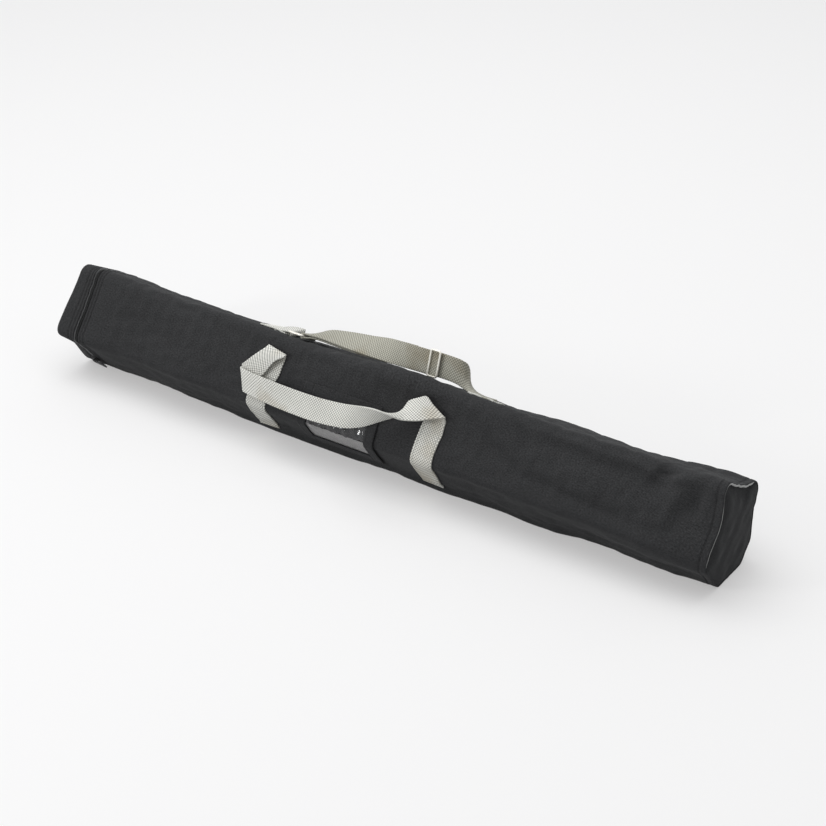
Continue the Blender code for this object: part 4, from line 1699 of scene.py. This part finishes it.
@dataclass
class ZipFastener:
    """Zip round three sides of the lid, the flap that closes the fourth, and the slider."""

    body: BagBody

    def build(self) -> None:
        """Make every piece of the zip."""
        rear_start, rear_end = self.body.outline.rear()
        self.rounds = np.linspace(rear_end - self.body.outline.perimeter, rear_start, 240)
        # the body half takes the painted shaded coil, the lid half the painted lit coil
        for name, part, side, finish in (("body", "bag", 1.0, SHADED_COIL), ("lid", "lid", -1.0, LIT_COIL)):
            self.teeth(name, part, side, finish)
            self.tape(name, part, side)
        self.hinge_flap()
        self.slider()

    def teeth(self, name: str, part: str, side: float, finish: Finish) -> None:
        """Coil teeth of one half.

        Args:
            name: which half.
            part: CAD body it moves with.
            side: +1 towards the bag, -1 towards the lid.
            finish: surface of the coil; the halves get a painted lit and a painted shaded copy of one colour.
        """
        x = np.full_like(self.rounds, ZIP_X + side * COIL_HALF * 0.56)
        points = self.body.drape.place(x, self.rounds, -0.0005)
        points[:, 2] = np.maximum(points[:, 2], 0.0013)
        under = self.body.drape.place(x, self.rounds, -0.0015)
        line = (points, unit(points - under))
        size = (0.0012, 0.0031, 0.0022)
        item = self.body.beads.run("zip_teeth_" + name, [line], size, 0.0014, finish, 0.02)
        install(item, part, finish, "zip_coil_" + name)

    def tape(self, name: str, part: str, side: float) -> None:
        """Woven tape of one half, under the cloth's edge.

        Args:
            name: which half.
            part: CAD body it moves with.
            side: +1 towards the bag, -1 towards the lid.
        """
        ends = sorted((ZIP_X + side * 0.0004, ZIP_X + side * (COIL_HALF + TAPE_WIDTH)))
        x, c = np.meshgrid(np.linspace(*ends, 9), self.rounds, indexing="ij")
        middle = self.body.drape.place(x, c, -LINING_INSET - 0.0008)
        tape = thick_sheet("zip_tape_cloth_" + name, middle, TAPE_WALL)
        install(tape, part, ZIP_TAPE, "zip_tape_" + name)

    def hinge_flap(self) -> None:
        """Cloth flap that lets the lid swing on its rear edge."""
        start, end = self.body.outline.rear()
        reach = COIL_HALF + TAPE_WIDTH
        across = np.linspace(ZIP_X - reach, ZIP_X + reach, 33)
        x, c = np.meshgrid(across, np.linspace(start, end, 30), indexing="ij")
        middle = self.body.drape.place(x, c, -LINING_INSET - 0.0006)
        flap = thick_sheet("hinge_flap", middle, TAPE_WALL)
        dress(flap, NYLON)
        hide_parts("hinge_strip_body", "hinge_strip_lid")
        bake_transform(flap)
        LOG.info("hinge_flap between bag and lid")

    def slider(self) -> None:
        """Slider on the slope under the front bend, and its pull."""
        low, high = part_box("zip_slider")
        up = Vector((0.0, -BASE_FRONT_Y, FRONT_LIFT)).normalized()
        across = Vector((1.0, 0.0, 0.0))
        out = across.cross(up)
        place = Matrix.Translation((low + high) / 2) @ Matrix((across, up, out)).transposed().to_4x4()
        blocks = []
        for name, size, lift, bevel in (("slider_plate", (0.0088, 0.0118, 0.0012), -0.0009, 0.0005),
                                        ("slider_crown", (0.0062, 0.0100, 0.0012), 0.0002, 0.0005),
                                        ("slider_bridge", (0.0020, 0.0030, 0.0030), 0.0020, 0.0004)):
            blocks.append(soft_box(name, size, place @ Matrix.Translation((0, 0, lift)), bevel))
        install(joined("slider_body", blocks), "zip_slider", BLACK_METAL, "zip_slider")
        self.pull(place)

    def pull(self, place: Matrix) -> None:
        """Short pull tab that hangs on the slider's bridge.

        Args:
            place: middle of the slider, with X across the zip, Y along it and Z off it.
        """
        low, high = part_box("zip_pull")
        length = 0.60 * (high.x - low.x)
        lean = Matrix.Rotation(-math.radians(4), 4, "Y")
        half = length / 2
        pivot = place @ Matrix.Translation((0, 0, PULL_PIVOT_LIFT))
        turn = pivot @ lean @ Matrix.Translation((length / 2 - 0.0012, 0, 0))
        corners = np.array([(-half, -0.0028, 0), (half, -0.0034, 0), (half, 0.0034, 0), (-half, 0.0028, 0)])
        path = np.array([turn @ Vector(p) for p in rounded_loop(corners, 0.0026)])
        rim = sweep("pull_rim", path, np.array(turn.to_3x3() @ Vector((0, 0, 1))), 0.0008)
        middle = turn @ Matrix.Translation((length * 0.12, 0, 0))
        web = soft_box("pull_web", (length * 0.66, 0.0054, 0.0010), middle, 0.0003)
        install(joined("pull_tab", [rim, web]), "zip_pull", BLACK_METAL, "zip_pull")


@dataclass
class CarryHandle:
    """One strip of webbing: two sewn legs with a loose, twisted loop between them."""

    body: BagBody

    def leg(self, middle: float, lean: float, top: float) -> list[tuple[Array, Array]]:
        """Stations of a leg, from its tail under the bag up the front face.

        Args:
            middle: x of the leg's centre low on the face.
            lean: how far its top stands further along.
            top: height up the face where it leaves the cloth.

        Returns:
            Pairs of edge points, at -X and +X.
        """
        outline = self.body.outline
        rounds = np.linspace(LEG_TAIL_C, outline.front(top), 22)
        stations = []
        for c in rounds:
            x = middle + lean * float(ramp(c, 0.005, 0.05))
            edges = np.array((x - WEB_WIDTH / 2, x + WEB_WIDTH / 2))
            stations.append(tuple(self.body.skin.at(edges, np.array((c, c)), 0.0013)))
        return stations

    def loop(self) -> list[tuple[Array, Array]]:
        """Stations of the loose loop, as it lies in the photograph.

        Returns:
            Pairs of edge points; the first edge starts on the -X side.
        """
        edges = [
            ((-151, 77, 4), (-122, 72, 4)), ((-151, 74, 8.5), (-121, 69, 8)),
            ((-161, 60, 13), (-133, 60, 10)), ((-170, 47, 14), (-146, 40, 9)),
            ((-174, 42, 13), (-158, 20, 9)), ((-174.5, 41, 15.5), (-163, 13, 12)),
            ((-168, 40, 18), (-157, 12, 15)), ((-152, 37, 18), (-143, 12, 15.5)),
            ((-121, 36, 17), (-115, 9, 14)), ((-89, 36, 16), (-85, 7, 13)),
            ((-51, 36.5, 15), (-50, 7, 13)), ((-14, 39, 16), (-14, 11, 13)),
            ((10, 42, 22), (10, 19, 9)), ((38.8, 46.4, 34), (37.8, 34.4, 11)),
            ((60.4, 47.5, 37), (61.4, 49.5, 10)), ((77, 46, 25), (68, 67, 8)),
            ((93, 51, 18), (82, 75, 10)), ((107, 58, 13), (90, 79, 9)),
            ((121, 62, 9), (94, 76, 8)), ((121, 60, 5), (92, 72, 4.5)),
        ]
        return [(face_point(first), face_point(second)) for first, second in edges]

    def build(self) -> None:
        """Make the webbing and its stitches."""
        left = self.leg(LEG_LEFT_X, LEG_LEFT_LEAN, 0.066)
        right = [(second, first) for first, second in reversed(self.leg(LEG_RIGHT_X, LEG_RIGHT_LEAN, 0.056))]
        pairs = left + self.loop() + right
        stations = [((a + b) / 2, b - a) for a, b in pairs]
        web, length = ribbon("handle_webbing", stations)
        dress(web, WEBBING)
        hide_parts("handle_leg_left", "handle_leg_right", "handle_loop")
        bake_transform(web)
        LOG.info("handle_webbing between bag and handle, %.3f m long", length)
        self.stitches()

    def stitches(self) -> None:
        """Thread down both edges of each sewn leg."""
        outline = self.body.outline
        c = np.linspace(LEG_TAIL_C + 0.004, outline.front(0.044), 80)
        lines = []
        for middle, lean in ((LEG_LEFT_X, LEG_LEFT_LEAN), (LEG_RIGHT_X, LEG_RIGHT_LEAN)):
            for side in (-1, 1):
                x = middle + lean * ramp(c, 0.005, 0.05) + side * (WEB_WIDTH / 2 - 0.0030)
                lines.append(self.body.skin.line(x, c, WEB_STITCH_LIFT))
        item = self.body.beads.run("handle_stitches", lines, WEB_STITCH, WEB_STITCH_PITCH, GREY_THREAD)
        install(item, "bag", GREY_THREAD)


@dataclass
class LabelPocket:
    """Sewn label pocket round the front bend, with a clear window and a blank card."""

    body: BagBody
    left: float = -0.084
    right: float = 0.032
    border: float = 0.014
    tuck: float = 0.007
    lift: float = 0.0018
    wall: float = 0.0010

    def build(self) -> None:
        """Make every piece of the pocket."""
        outline = self.body.outline
        self.top = outline.front(0.050)
        self.low = -0.043
        self.window_top = outline.front(0.026)
        self.window_low = -0.028
        self.panel()
        self.film()
        ends = (self.left + self.tuck, self.right - self.tuck)
        rounds = (self.low, outline.front(0.002))
        card = self.body.skin.patch("label_card", ends, rounds, 0.0003, 0.0006, step=0.003)
        install(card, "card", CARD, "id_card")
        self.stitches()

    def panel(self) -> None:
        """Black patch with an opening, as four sewn strips."""
        skin = self.body.skin
        inner = (self.left + self.border, self.right - self.border)
        tall = (self.low, self.top)
        areas = (((self.left, inner[0]), tall), ((inner[1], self.right), tall),
                 (inner, (self.window_top, self.top)), (inner, (self.low, self.window_low)))
        strips = [skin.patch("strip", ends, rounds, self.lift, self.wall) for ends, rounds in areas]
        item = install(joined("pocket_cloth", strips), "bag", NYLON, "id_pocket_panel")

    def film(self) -> None:
        """Crinkled clear film behind the opening."""
        ends = (self.left + self.tuck, self.right - self.tuck)
        rounds = (self.window_low - 0.006, self.window_top + 0.006)
        x, c = np.meshgrid(np.linspace(*ends, 90), np.linspace(*rounds, 60), indexing="ij")
        crinkle = Ripples(31, 0.010, 0.026)(x, c)
        free = ramp(x, ends[0] + 0.006, ends[0] + 0.014) * ramp(-x, -ends[1] + 0.006, -ends[1] + 0.014)
        free = free * ramp(c, rounds[0] + 0.005, rounds[0] + 0.010)
        free = free * ramp(-c, -rounds[1] + 0.005, -rounds[1] + 0.010)
        loose = 0.25 + 0.75 * ramp(c, self.body.outline.front(-0.002), self.body.outline.front(0.006))
        lift = 0.0014 + free * loose * np.maximum(0.0, 0.0012 * crinkle + 0.0006)
        film = thick_sheet("window_film_sheet", self.body.skin.at(x, c, lift), 0.0003)
        install(film, "bag", FILM, "id_window")

    def stitches(self) -> None:
        """Thread round the patch and round its opening."""
        lines = []
        for inset in (0.003, self.border - 0.0025):
            far = (self.top - self.window_top) if inset > 0.006 else inset
            near = (self.window_low - self.low) if inset > 0.006 else inset
            rounds = (self.low + near - 0.002, self.top - far + 0.002)
            x, c = box_path((self.left + inset, self.right - inset), rounds, 40)
            lines.append(self.body.skin.line(x, c, 0.0029))
        item = self.body.beads.run("pocket_stitches", lines, (0.0022, 0.0006, 0.0005), 0.0031, BLACK_THREAD)
        install(item, "bag", BLACK_THREAD)


@dataclass
class ShoulderStrap:
    """Webbing strap that stands on edge along the top, with its ring and glide."""

    body: BagBody
    inset: float = 0.030
    lean: float = math.radians(14)
    tilt: float = 72.0
    ply: float = 0.0014
    ring_ends: tuple[float, float] = (-0.1395, -0.1185)
    ring_lift: float = 0.0045
    ring_turn: float = 0.0029
    patch_ends: tuple[float, float] = (0.128, 0.165)

    def build(self) -> None:
        """Make every piece of the strap."""
        self.patches()
        self.loop()
        self.tail()
        self.ring()
        self.glide()

    def patches(self) -> None:
        """Sewn ends: one folded round the ring, one flat."""
        outline = self.body.outline
        flat = top_way(1, 0)
        off = top_way(0, 1)
        leans = self.lean * np.r_[0.15, 0.35, 0.7, np.ones(8)]
        depths = [flat * math.cos(lean) + off * math.sin(lean) for lean in leans]
        c = outline.top(self.inset)
        lifts = np.array((0.0030, 0.0040, 0.0046))
        ends = self.body.skin.at(np.array((-0.186, -0.170, -0.156)), np.full(3, c), lifts)
        bar = top_point(self.ring_ends[0], self.inset, self.ring_lift)
        turn = []
        for angle in np.linspace(0.2, 2.9, 6):
            turn.append(bar + self.ring_turn * (AHEAD * math.sin(angle) - off * math.cos(angle)))
        back = [bar - 0.012 * AHEAD + 0.0016 * off, bar - 0.024 * AHEAD - 0.0012 * off]
        stations = list(zip((*ends, *turn, *back), depths))
        web, length = ribbon("strap_patch_web_left", stations)
        install(web, "bag", WEBBING, "strap_patch_left")
        rounds = (outline.top(self.inset - WEB_WIDTH / 2), outline.top(self.inset + WEB_WIDTH / 2))
        patch = self.body.skin.patch("strap_patch_web_right", self.patch_ends, rounds, 0.0004, WEB_WALL,
                                     Weave.WEBBING, WEB_STEP)
        install(patch, "bag", WEBBING, "strap_patch_right")
        self.stitches(c)

    def stitches(self, c: float) -> None:
        """Boxes of thread on both sewn ends.

        Args:
            c: middle of the strap round the section.
        """
        lines = []
        half = WEB_WIDTH / 2 - 0.003
        for ends in ((-0.184, -0.162), (0.131, 0.162)):
            x, across = box_path(ends, (-half, half), 20)
            lines.append(self.body.skin.line(x, c + across, WEB_STITCH_LIFT))
        item = self.body.beads.run("strap_stitches", lines, WEB_STITCH, WEB_STITCH_PITCH, GREY_THREAD)
        install(item, "bag", GREY_THREAD)

    def station(self, edge: Point, tilt: float, ply: float, skew: float = 0.0) -> tuple[Array, Array]:
        """Place one station of the strap by its lower edge.

        Args:
            edge: the lower edge, in world space.
            tilt: how far the strap is turned up from level, in degrees.
            ply: distance of this ply behind the strap's middle.
            skew: how far the upper edge lags along the bag.

        Returns:
            Centre of the station and the direction across it.
        """
        turn = math.radians(tilt)
        across = unit(np.array((-skew, math.cos(turn), math.sin(turn))))
        behind = np.array((0.0, math.sin(turn), -math.cos(turn)))
        return np.array(edge) + across * WEB_WIDTH / 2 + behind * ply, across

    def middle(self) -> float:
        """Find the line that the strap stands on.

        Returns:
            Its y.
        """
        return float(top_point(0, self.inset, 0)[1])

    def loop(self) -> None:
        """Strip from the glide, round the ring and back to the glide."""
        y = self.middle()
        tilt = self.tilt
        run = [
            ((0.0775, y, 0.1340), tilt), ((0.060, y, 0.1336), tilt - 1), ((0.040, y, 0.1328), 68),
            ((0.015, y, 0.1316), 58), ((-0.008, y, 0.1308), 42), ((-0.032, y, 0.1303), 27),
            ((-0.052, y, 0.1303), 19), ((-0.070, y, 0.1309), 11), ((-0.084, y - 0.001, 0.1322), 4),
            ((-0.097, y - 0.003, 0.1341), -3), ((-0.108, y - 0.0066, 0.1358), -12),
        ]
        depth = top_way(1, 0)
        off = top_way(0, 1)
        bar = top_point(self.ring_ends[1], self.inset, self.ring_lift)
        stations = [self.station(edge, tilt, -self.ply) for edge, tilt in run]
        for angle in np.linspace(0.3, 2.8, 6):
            stations.append((bar + self.ring_turn * (off * math.cos(angle) - AHEAD * math.sin(angle)), depth))
        stations.extend(self.station(edge, tilt, self.ply) for edge, tilt in reversed(run[2:]))
        web, length = ribbon("strap_webbing", stations)
        # dressed in the webbing copy darkened partly as painted shade
        dress(web, SHADED_SOILED_WEBBING)
        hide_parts("strap_web")
        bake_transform(web)
        LOG.info("strap_webbing between bag and strap, %.3f m long", length)

    def tail(self) -> None:
        """Strip from the flat patch up to the glide."""
        y = self.middle()
        low, near = 0.1357, y - 0.0112
        run = [
            ((0.160, near, low), -30, 0.2), ((0.148, near, low), -30, 0.4),
            ((0.138, y - 0.009, 0.1345), -24, 0.6), ((0.128, y - 0.005, 0.1315), -5, 0.65),
            ((0.119, y - 0.001, 0.1296), 34, 0.4), ((0.110, y, 0.1310), 62, 0.1),
            ((0.096, y, 0.1336), self.tilt, 0.0), ((0.062, y, 0.1337), self.tilt - 1, 0.0),
        ]
        stations = [self.station(edge, tilt, self.ply, skew) for edge, tilt, skew in run]
        web, length = ribbon("strap_tail_web", stations)
        # dressed in the webbing copy darkened partly as painted shade
        dress(web, SHADED_SOILED_WEBBING)
        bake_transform(web)
        LOG.info("strap_tail_web between bag and strap, %.3f m long", length)

    def ring(self) -> None:
        """Wire ring that joins the strap to its sewn end."""
        near, far = self.ring_ends
        corners = np.array([top_point(x, self.inset + side * 0.018, self.ring_lift)
                            for x, side in ((near, -1), (far, -1), (far, 1), (near, 1))])
        wire = sweep("strap_ring_wire", rounded_loop(corners, 0.004), top_way(0, 1), 0.0015)
        install(wire, "ring", NICKEL, "strap_ring")

    def glide(self) -> None:
        """Wire glide that sets the strap's length."""
        low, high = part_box("strap_glide")
        wire = 0.0013
        y = self.middle()
        left, right = low.x + wire, high.x - wire
        under, over = -0.0004, 0.0322
        corners = []
        for x, rise in ((left, under), (right, under), (right, over), (left, over)):
            centre, across = self.station((x, y, 0.1339), self.tilt, -0.0041)
            corners.append(centre + across * (rise - WEB_WIDTH / 2))
        turn = math.radians(self.tilt)
        axis = np.array((0.0, -math.sin(turn), math.cos(turn)))
        wire_loop = sweep("strap_glide_wire", rounded_loop(np.array(corners), 0.003), axis, wire)
        install(wire_loop, "glide", NICKEL, "strap_glide")


@dataclass
class BoomPole:
    """Closed telescopic pole that lies in the bag."""

    beads: BeadTree

    def build(self) -> None:
        """Make every piece of the pole."""
        low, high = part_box("pole_outer_tube")
        self.axis = ((low.y + high.y) / 2, (low.z + high.z) / 2)
        for section, part in (("outer", "bag"), ("middle", "pole_middle"), ("inner", "pole_inner")):
            self.tube(f"pole_{section}_tube", part)
        for number in (1, 2):
            self.collar(number)
            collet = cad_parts[f"lock_collet_{number}"]
            collet.data.materials.clear()
            dress(collet, COLLET)
        self.grip()
        self.cap()
        self.stud()

    def span(self, node: str) -> tuple[float, float, float]:
        """Measure a turned node.

        Args:
            node: name of the node.

        Returns:
            Its lowest and highest x and its outer radius.
        """
        low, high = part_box(node)
        return low.x, high.x, (high.z - low.z) / 2

    def tube(self, node: str, part: str) -> None:
        """Carbon tube with softened ends.

        Args:
            node: CAD node it stands for.
            part: CAD body it moves with.
        """
        start, end, radius = self.span(node)
        bore = radius - 0.0013
        profile = [(start + 0.0003, bore), (start, bore + 0.0003)]
        profile += [(start, radius - 0.0003), (start + 0.0003, radius)]
        profile += [(x, radius) for x in np.linspace(start + 0.002, end - 0.0003, 40)]
        profile += [(end, radius - 0.0003), (end, bore), (start + 0.0003, bore)]
        install(lathe(node + "_skin", profile, self.axis), part, CARBON, node)

    def collar(self, number: int) -> None:
        """Twist collar with ribs to hold.

        Args:
            number: which collar, from the butt.
        """
        node = f"lock_collar_{number}"
        part = f"collar_{number}"
        start, end, radius = self.span(node)
        tube = self.span(("pole_outer_tube", "pole_middle_tube")[number - 1])
        bore = tube[2] + 0.0003
        lip = self.span(("pole_middle_tube", "pole_inner_tube")[number - 1])[2] + 0.0003
        base = radius - 0.0008
        step = tube[0] - 0.0003
        profile = [(step, lip), (start, lip), (start, base - 0.0015), (start + 0.0015, base)]
        profile += [(end - 0.0012, base), (end, base - 0.0008), (end, bore), (step, bore), (step, lip)]
        barrel = lathe(f"collar_barrel_{number}", profile, self.axis)
        install(barrel, part, ALLOY, node)
        lines = []
        for angle in np.linspace(0.0, math.tau, 30, endpoint=False):
            out = np.array((0.0, math.cos(angle), math.sin(angle)))
            ends = np.array(((start + 0.004, *self.axis), (end - 0.004, *self.axis))) + out * base
            lines.append((ends, np.tile(out, (2, 1))))
        size = (end - start - 0.006, 0.0016, 0.0012)
        ribs = self.beads.run(f"collar_ribs_{number}", lines, size, end - start, ALLOY, 0.0)
        install(ribs, part, ALLOY)

    def grip(self) -> None:
        """Foam sleeve, a little uneven."""
        start, end, radius = self.span("pole_grip")
        bore = self.span("pole_outer_tube")[2] + 0.0003
        x = np.linspace(start + 0.002, end - 0.002, 90)
        swell = radius - 0.0003 - 0.0003 * np.sin(math.tau * x / 0.041) ** 2
        profile = [(start, bore), (start, radius - 0.002), *zip(x, swell)]
        profile += [(end, radius - 0.002), (end, bore), (start, bore)]
        item = install(lathe("grip_sleeve", profile, self.axis), "bag", GRIP, "pole_grip")

    def cap(self) -> None:
        """Rubber cap on the butt."""
        start, end, radius = self.span("pole_butt_cap")
        tube = self.span("pole_outer_tube")
        bore = tube[2] + 0.0003
        profile = [(tube[1] + 0.0003, 0.0), (tube[1] + 0.0003, bore), (start, bore), (start, radius)]
        for angle in np.linspace(0, 1.5, 8):
            x = end - 0.0055 + 0.0055 * math.sin(angle)
            profile.append((x, radius - 0.003 + 0.003 * math.cos(angle)))
        profile += [(end, 0.0)]
        install(lathe("butt_cap_skin", profile, self.axis), "bag", RUBBER, "pole_butt_cap")

    def stud(self) -> None:
        """Tip with its threaded stud."""
        start, end, radius = self.span("pole_tip_stud")
        thread = 0.0047
        shoulder = end - 0.013
        turns = np.linspace(start + 0.0008, shoulder - 0.0004, 70)
        cut = thread - 0.0004 + 0.0004 * np.cos(math.tau * turns / 0.0012)
        profile = [(start, 0.0), (start, thread - 0.0009), *zip(turns, cut), (shoulder, thread - 0.0004)]
        profile += [(shoulder, radius - 0.0006), (shoulder + 0.0006, radius)]
        profile += [(end - 0.0004, radius), (end, radius - 0.0004), (end, 0.0)]
        install(lathe("tip_stud_skin", profile, self.axis), "pole_inner", BRASS, "pole_tip_stud")


def shown_ray(builder: NodeBuilder) -> Socket:
    """Tell the rays that show the background: from the camera, off gloss or through glass.

    Args:
        builder: nodes of a material or of the world.

    Returns:
        One for such a ray, zero for the rays that only light.
    """
    path = builder.add("ShaderNodeLightPath")
    shown = path.outputs["Is Camera Ray"]
    for kind in ("Is Glossy Ray", "Is Transmission Ray"):
        shown = builder.math("MAXIMUM", shown, path.outputs[kind])
    return shown


@dataclass
class Studio:
    """Pale floor, soft light and the photograph's camera."""

    floor_size: float = 14.0
    sky: float = 0.74
    right_share: float = 0.36
    overhead: float = 45.0
    window: float = 10.0
    window_size: float = 0.42
    floor_glow: float = 0.36

    def build(self) -> None:
        """Set up the floor, the light and the camera."""
        self.floor()
        self.lights()
        self.camera()
        bpy.context.scene.view_settings.view_transform = "Standard"

    def floor(self) -> None:
        """Plain pale floor."""
        half = self.floor_size / 2
        corners = np.array(((-half, -half, 0), (half, -half, 0), (half, half, 0), (-half, half, 0)), float)
        item = mesh_object("studio_floor", corners, [(0, 1, 2, 3)])
        tree = ShaderTree("studio_floor")
        tree.put("Base Color", (0.56, 0.56, 0.56, 1.0))
        tree.put("Emission Color", (1.0, 0.985, 0.98, 1.0))
        tree.put("Emission Strength", tree.math("MULTIPLY", shown_ray(tree), self.floor_glow))
        tree.put("Roughness", 0.9)
        tree.put("Specular IOR Level", 0.1)
        item.data.materials.append(tree.material)

    def lights(self) -> None:
        """White surroundings, dimmer on the right, a broad lamp overhead and a small one on the left."""
        world = bpy.data.worlds.new("studio_world")
        world.use_nodes = True
        builder = NodeBuilder(world.node_tree)
        spot = builder.add("ShaderNodeTexCoord").outputs["Generated"]
        side = builder.add("ShaderNodeSeparateXYZ", {0: spot}).outputs[0]
        far = self.sky * self.right_share
        fade = builder.add("ShaderNodeMapRange", {0: side, 1: -0.3, 2: 1.0, 3: self.sky, 4: far})
        strength = builder.add("ShaderNodeMix", {0: shown_ray(builder), 2: fade.outputs[0], 3: 1.0})
        sky = builder.nodes["Background"]
        builder.feed(sky.inputs[0], (0.97, 0.985, 1.0, 1.0))
        builder.feed(sky.inputs[1], strength.outputs[0])
        bpy.context.scene.world = world
        for name, place, size, power in (("overhead", (-0.4, 0.2, 2.8), 3.0, self.overhead),
                                         ("window", (-1.25, -2.0, 0.95), self.window_size, self.window)):
            data = bpy.data.lights.new(name, "AREA")
            data.size = size
            data.energy = power
            item = linked(name, data)
            item.location = place
            item.rotation_euler = (-Vector(place)).to_track_quat("-Z", "Y").to_euler()

    def camera(self) -> None:
        """Camera of the photograph."""
        data = bpy.data.cameras.new("photo_camera")
        data.lens = CAMERA_LENS
        data.sensor_width = SENSOR_WIDTH
        item = linked("photo_camera", data)
        item.location = CAMERA_SPOT
        item.rotation_euler = (math.pi / 2 - CAMERA_ELEVATION, 0.0, CAMERA_AZIMUTH)
        bpy.context.scene.camera = item


def main() -> None:
    """Build every sub-assembly round the frame, then the studio."""
    logging.basicConfig(level=logging.INFO, format="%(name)s: %(message)s")
    outline = Outline()
    beads = BeadTree()
    body = BagBody(outline, Drape(outline), beads)
    body.build()
    for part in (Lid(body), ZipFastener(body), CarryHandle(body), LabelPocket(body), ShoulderStrap(body)):
        part.build()
    BoomPole(beads).build()
    Studio().build()


if __name__ == "__main__":
    main()
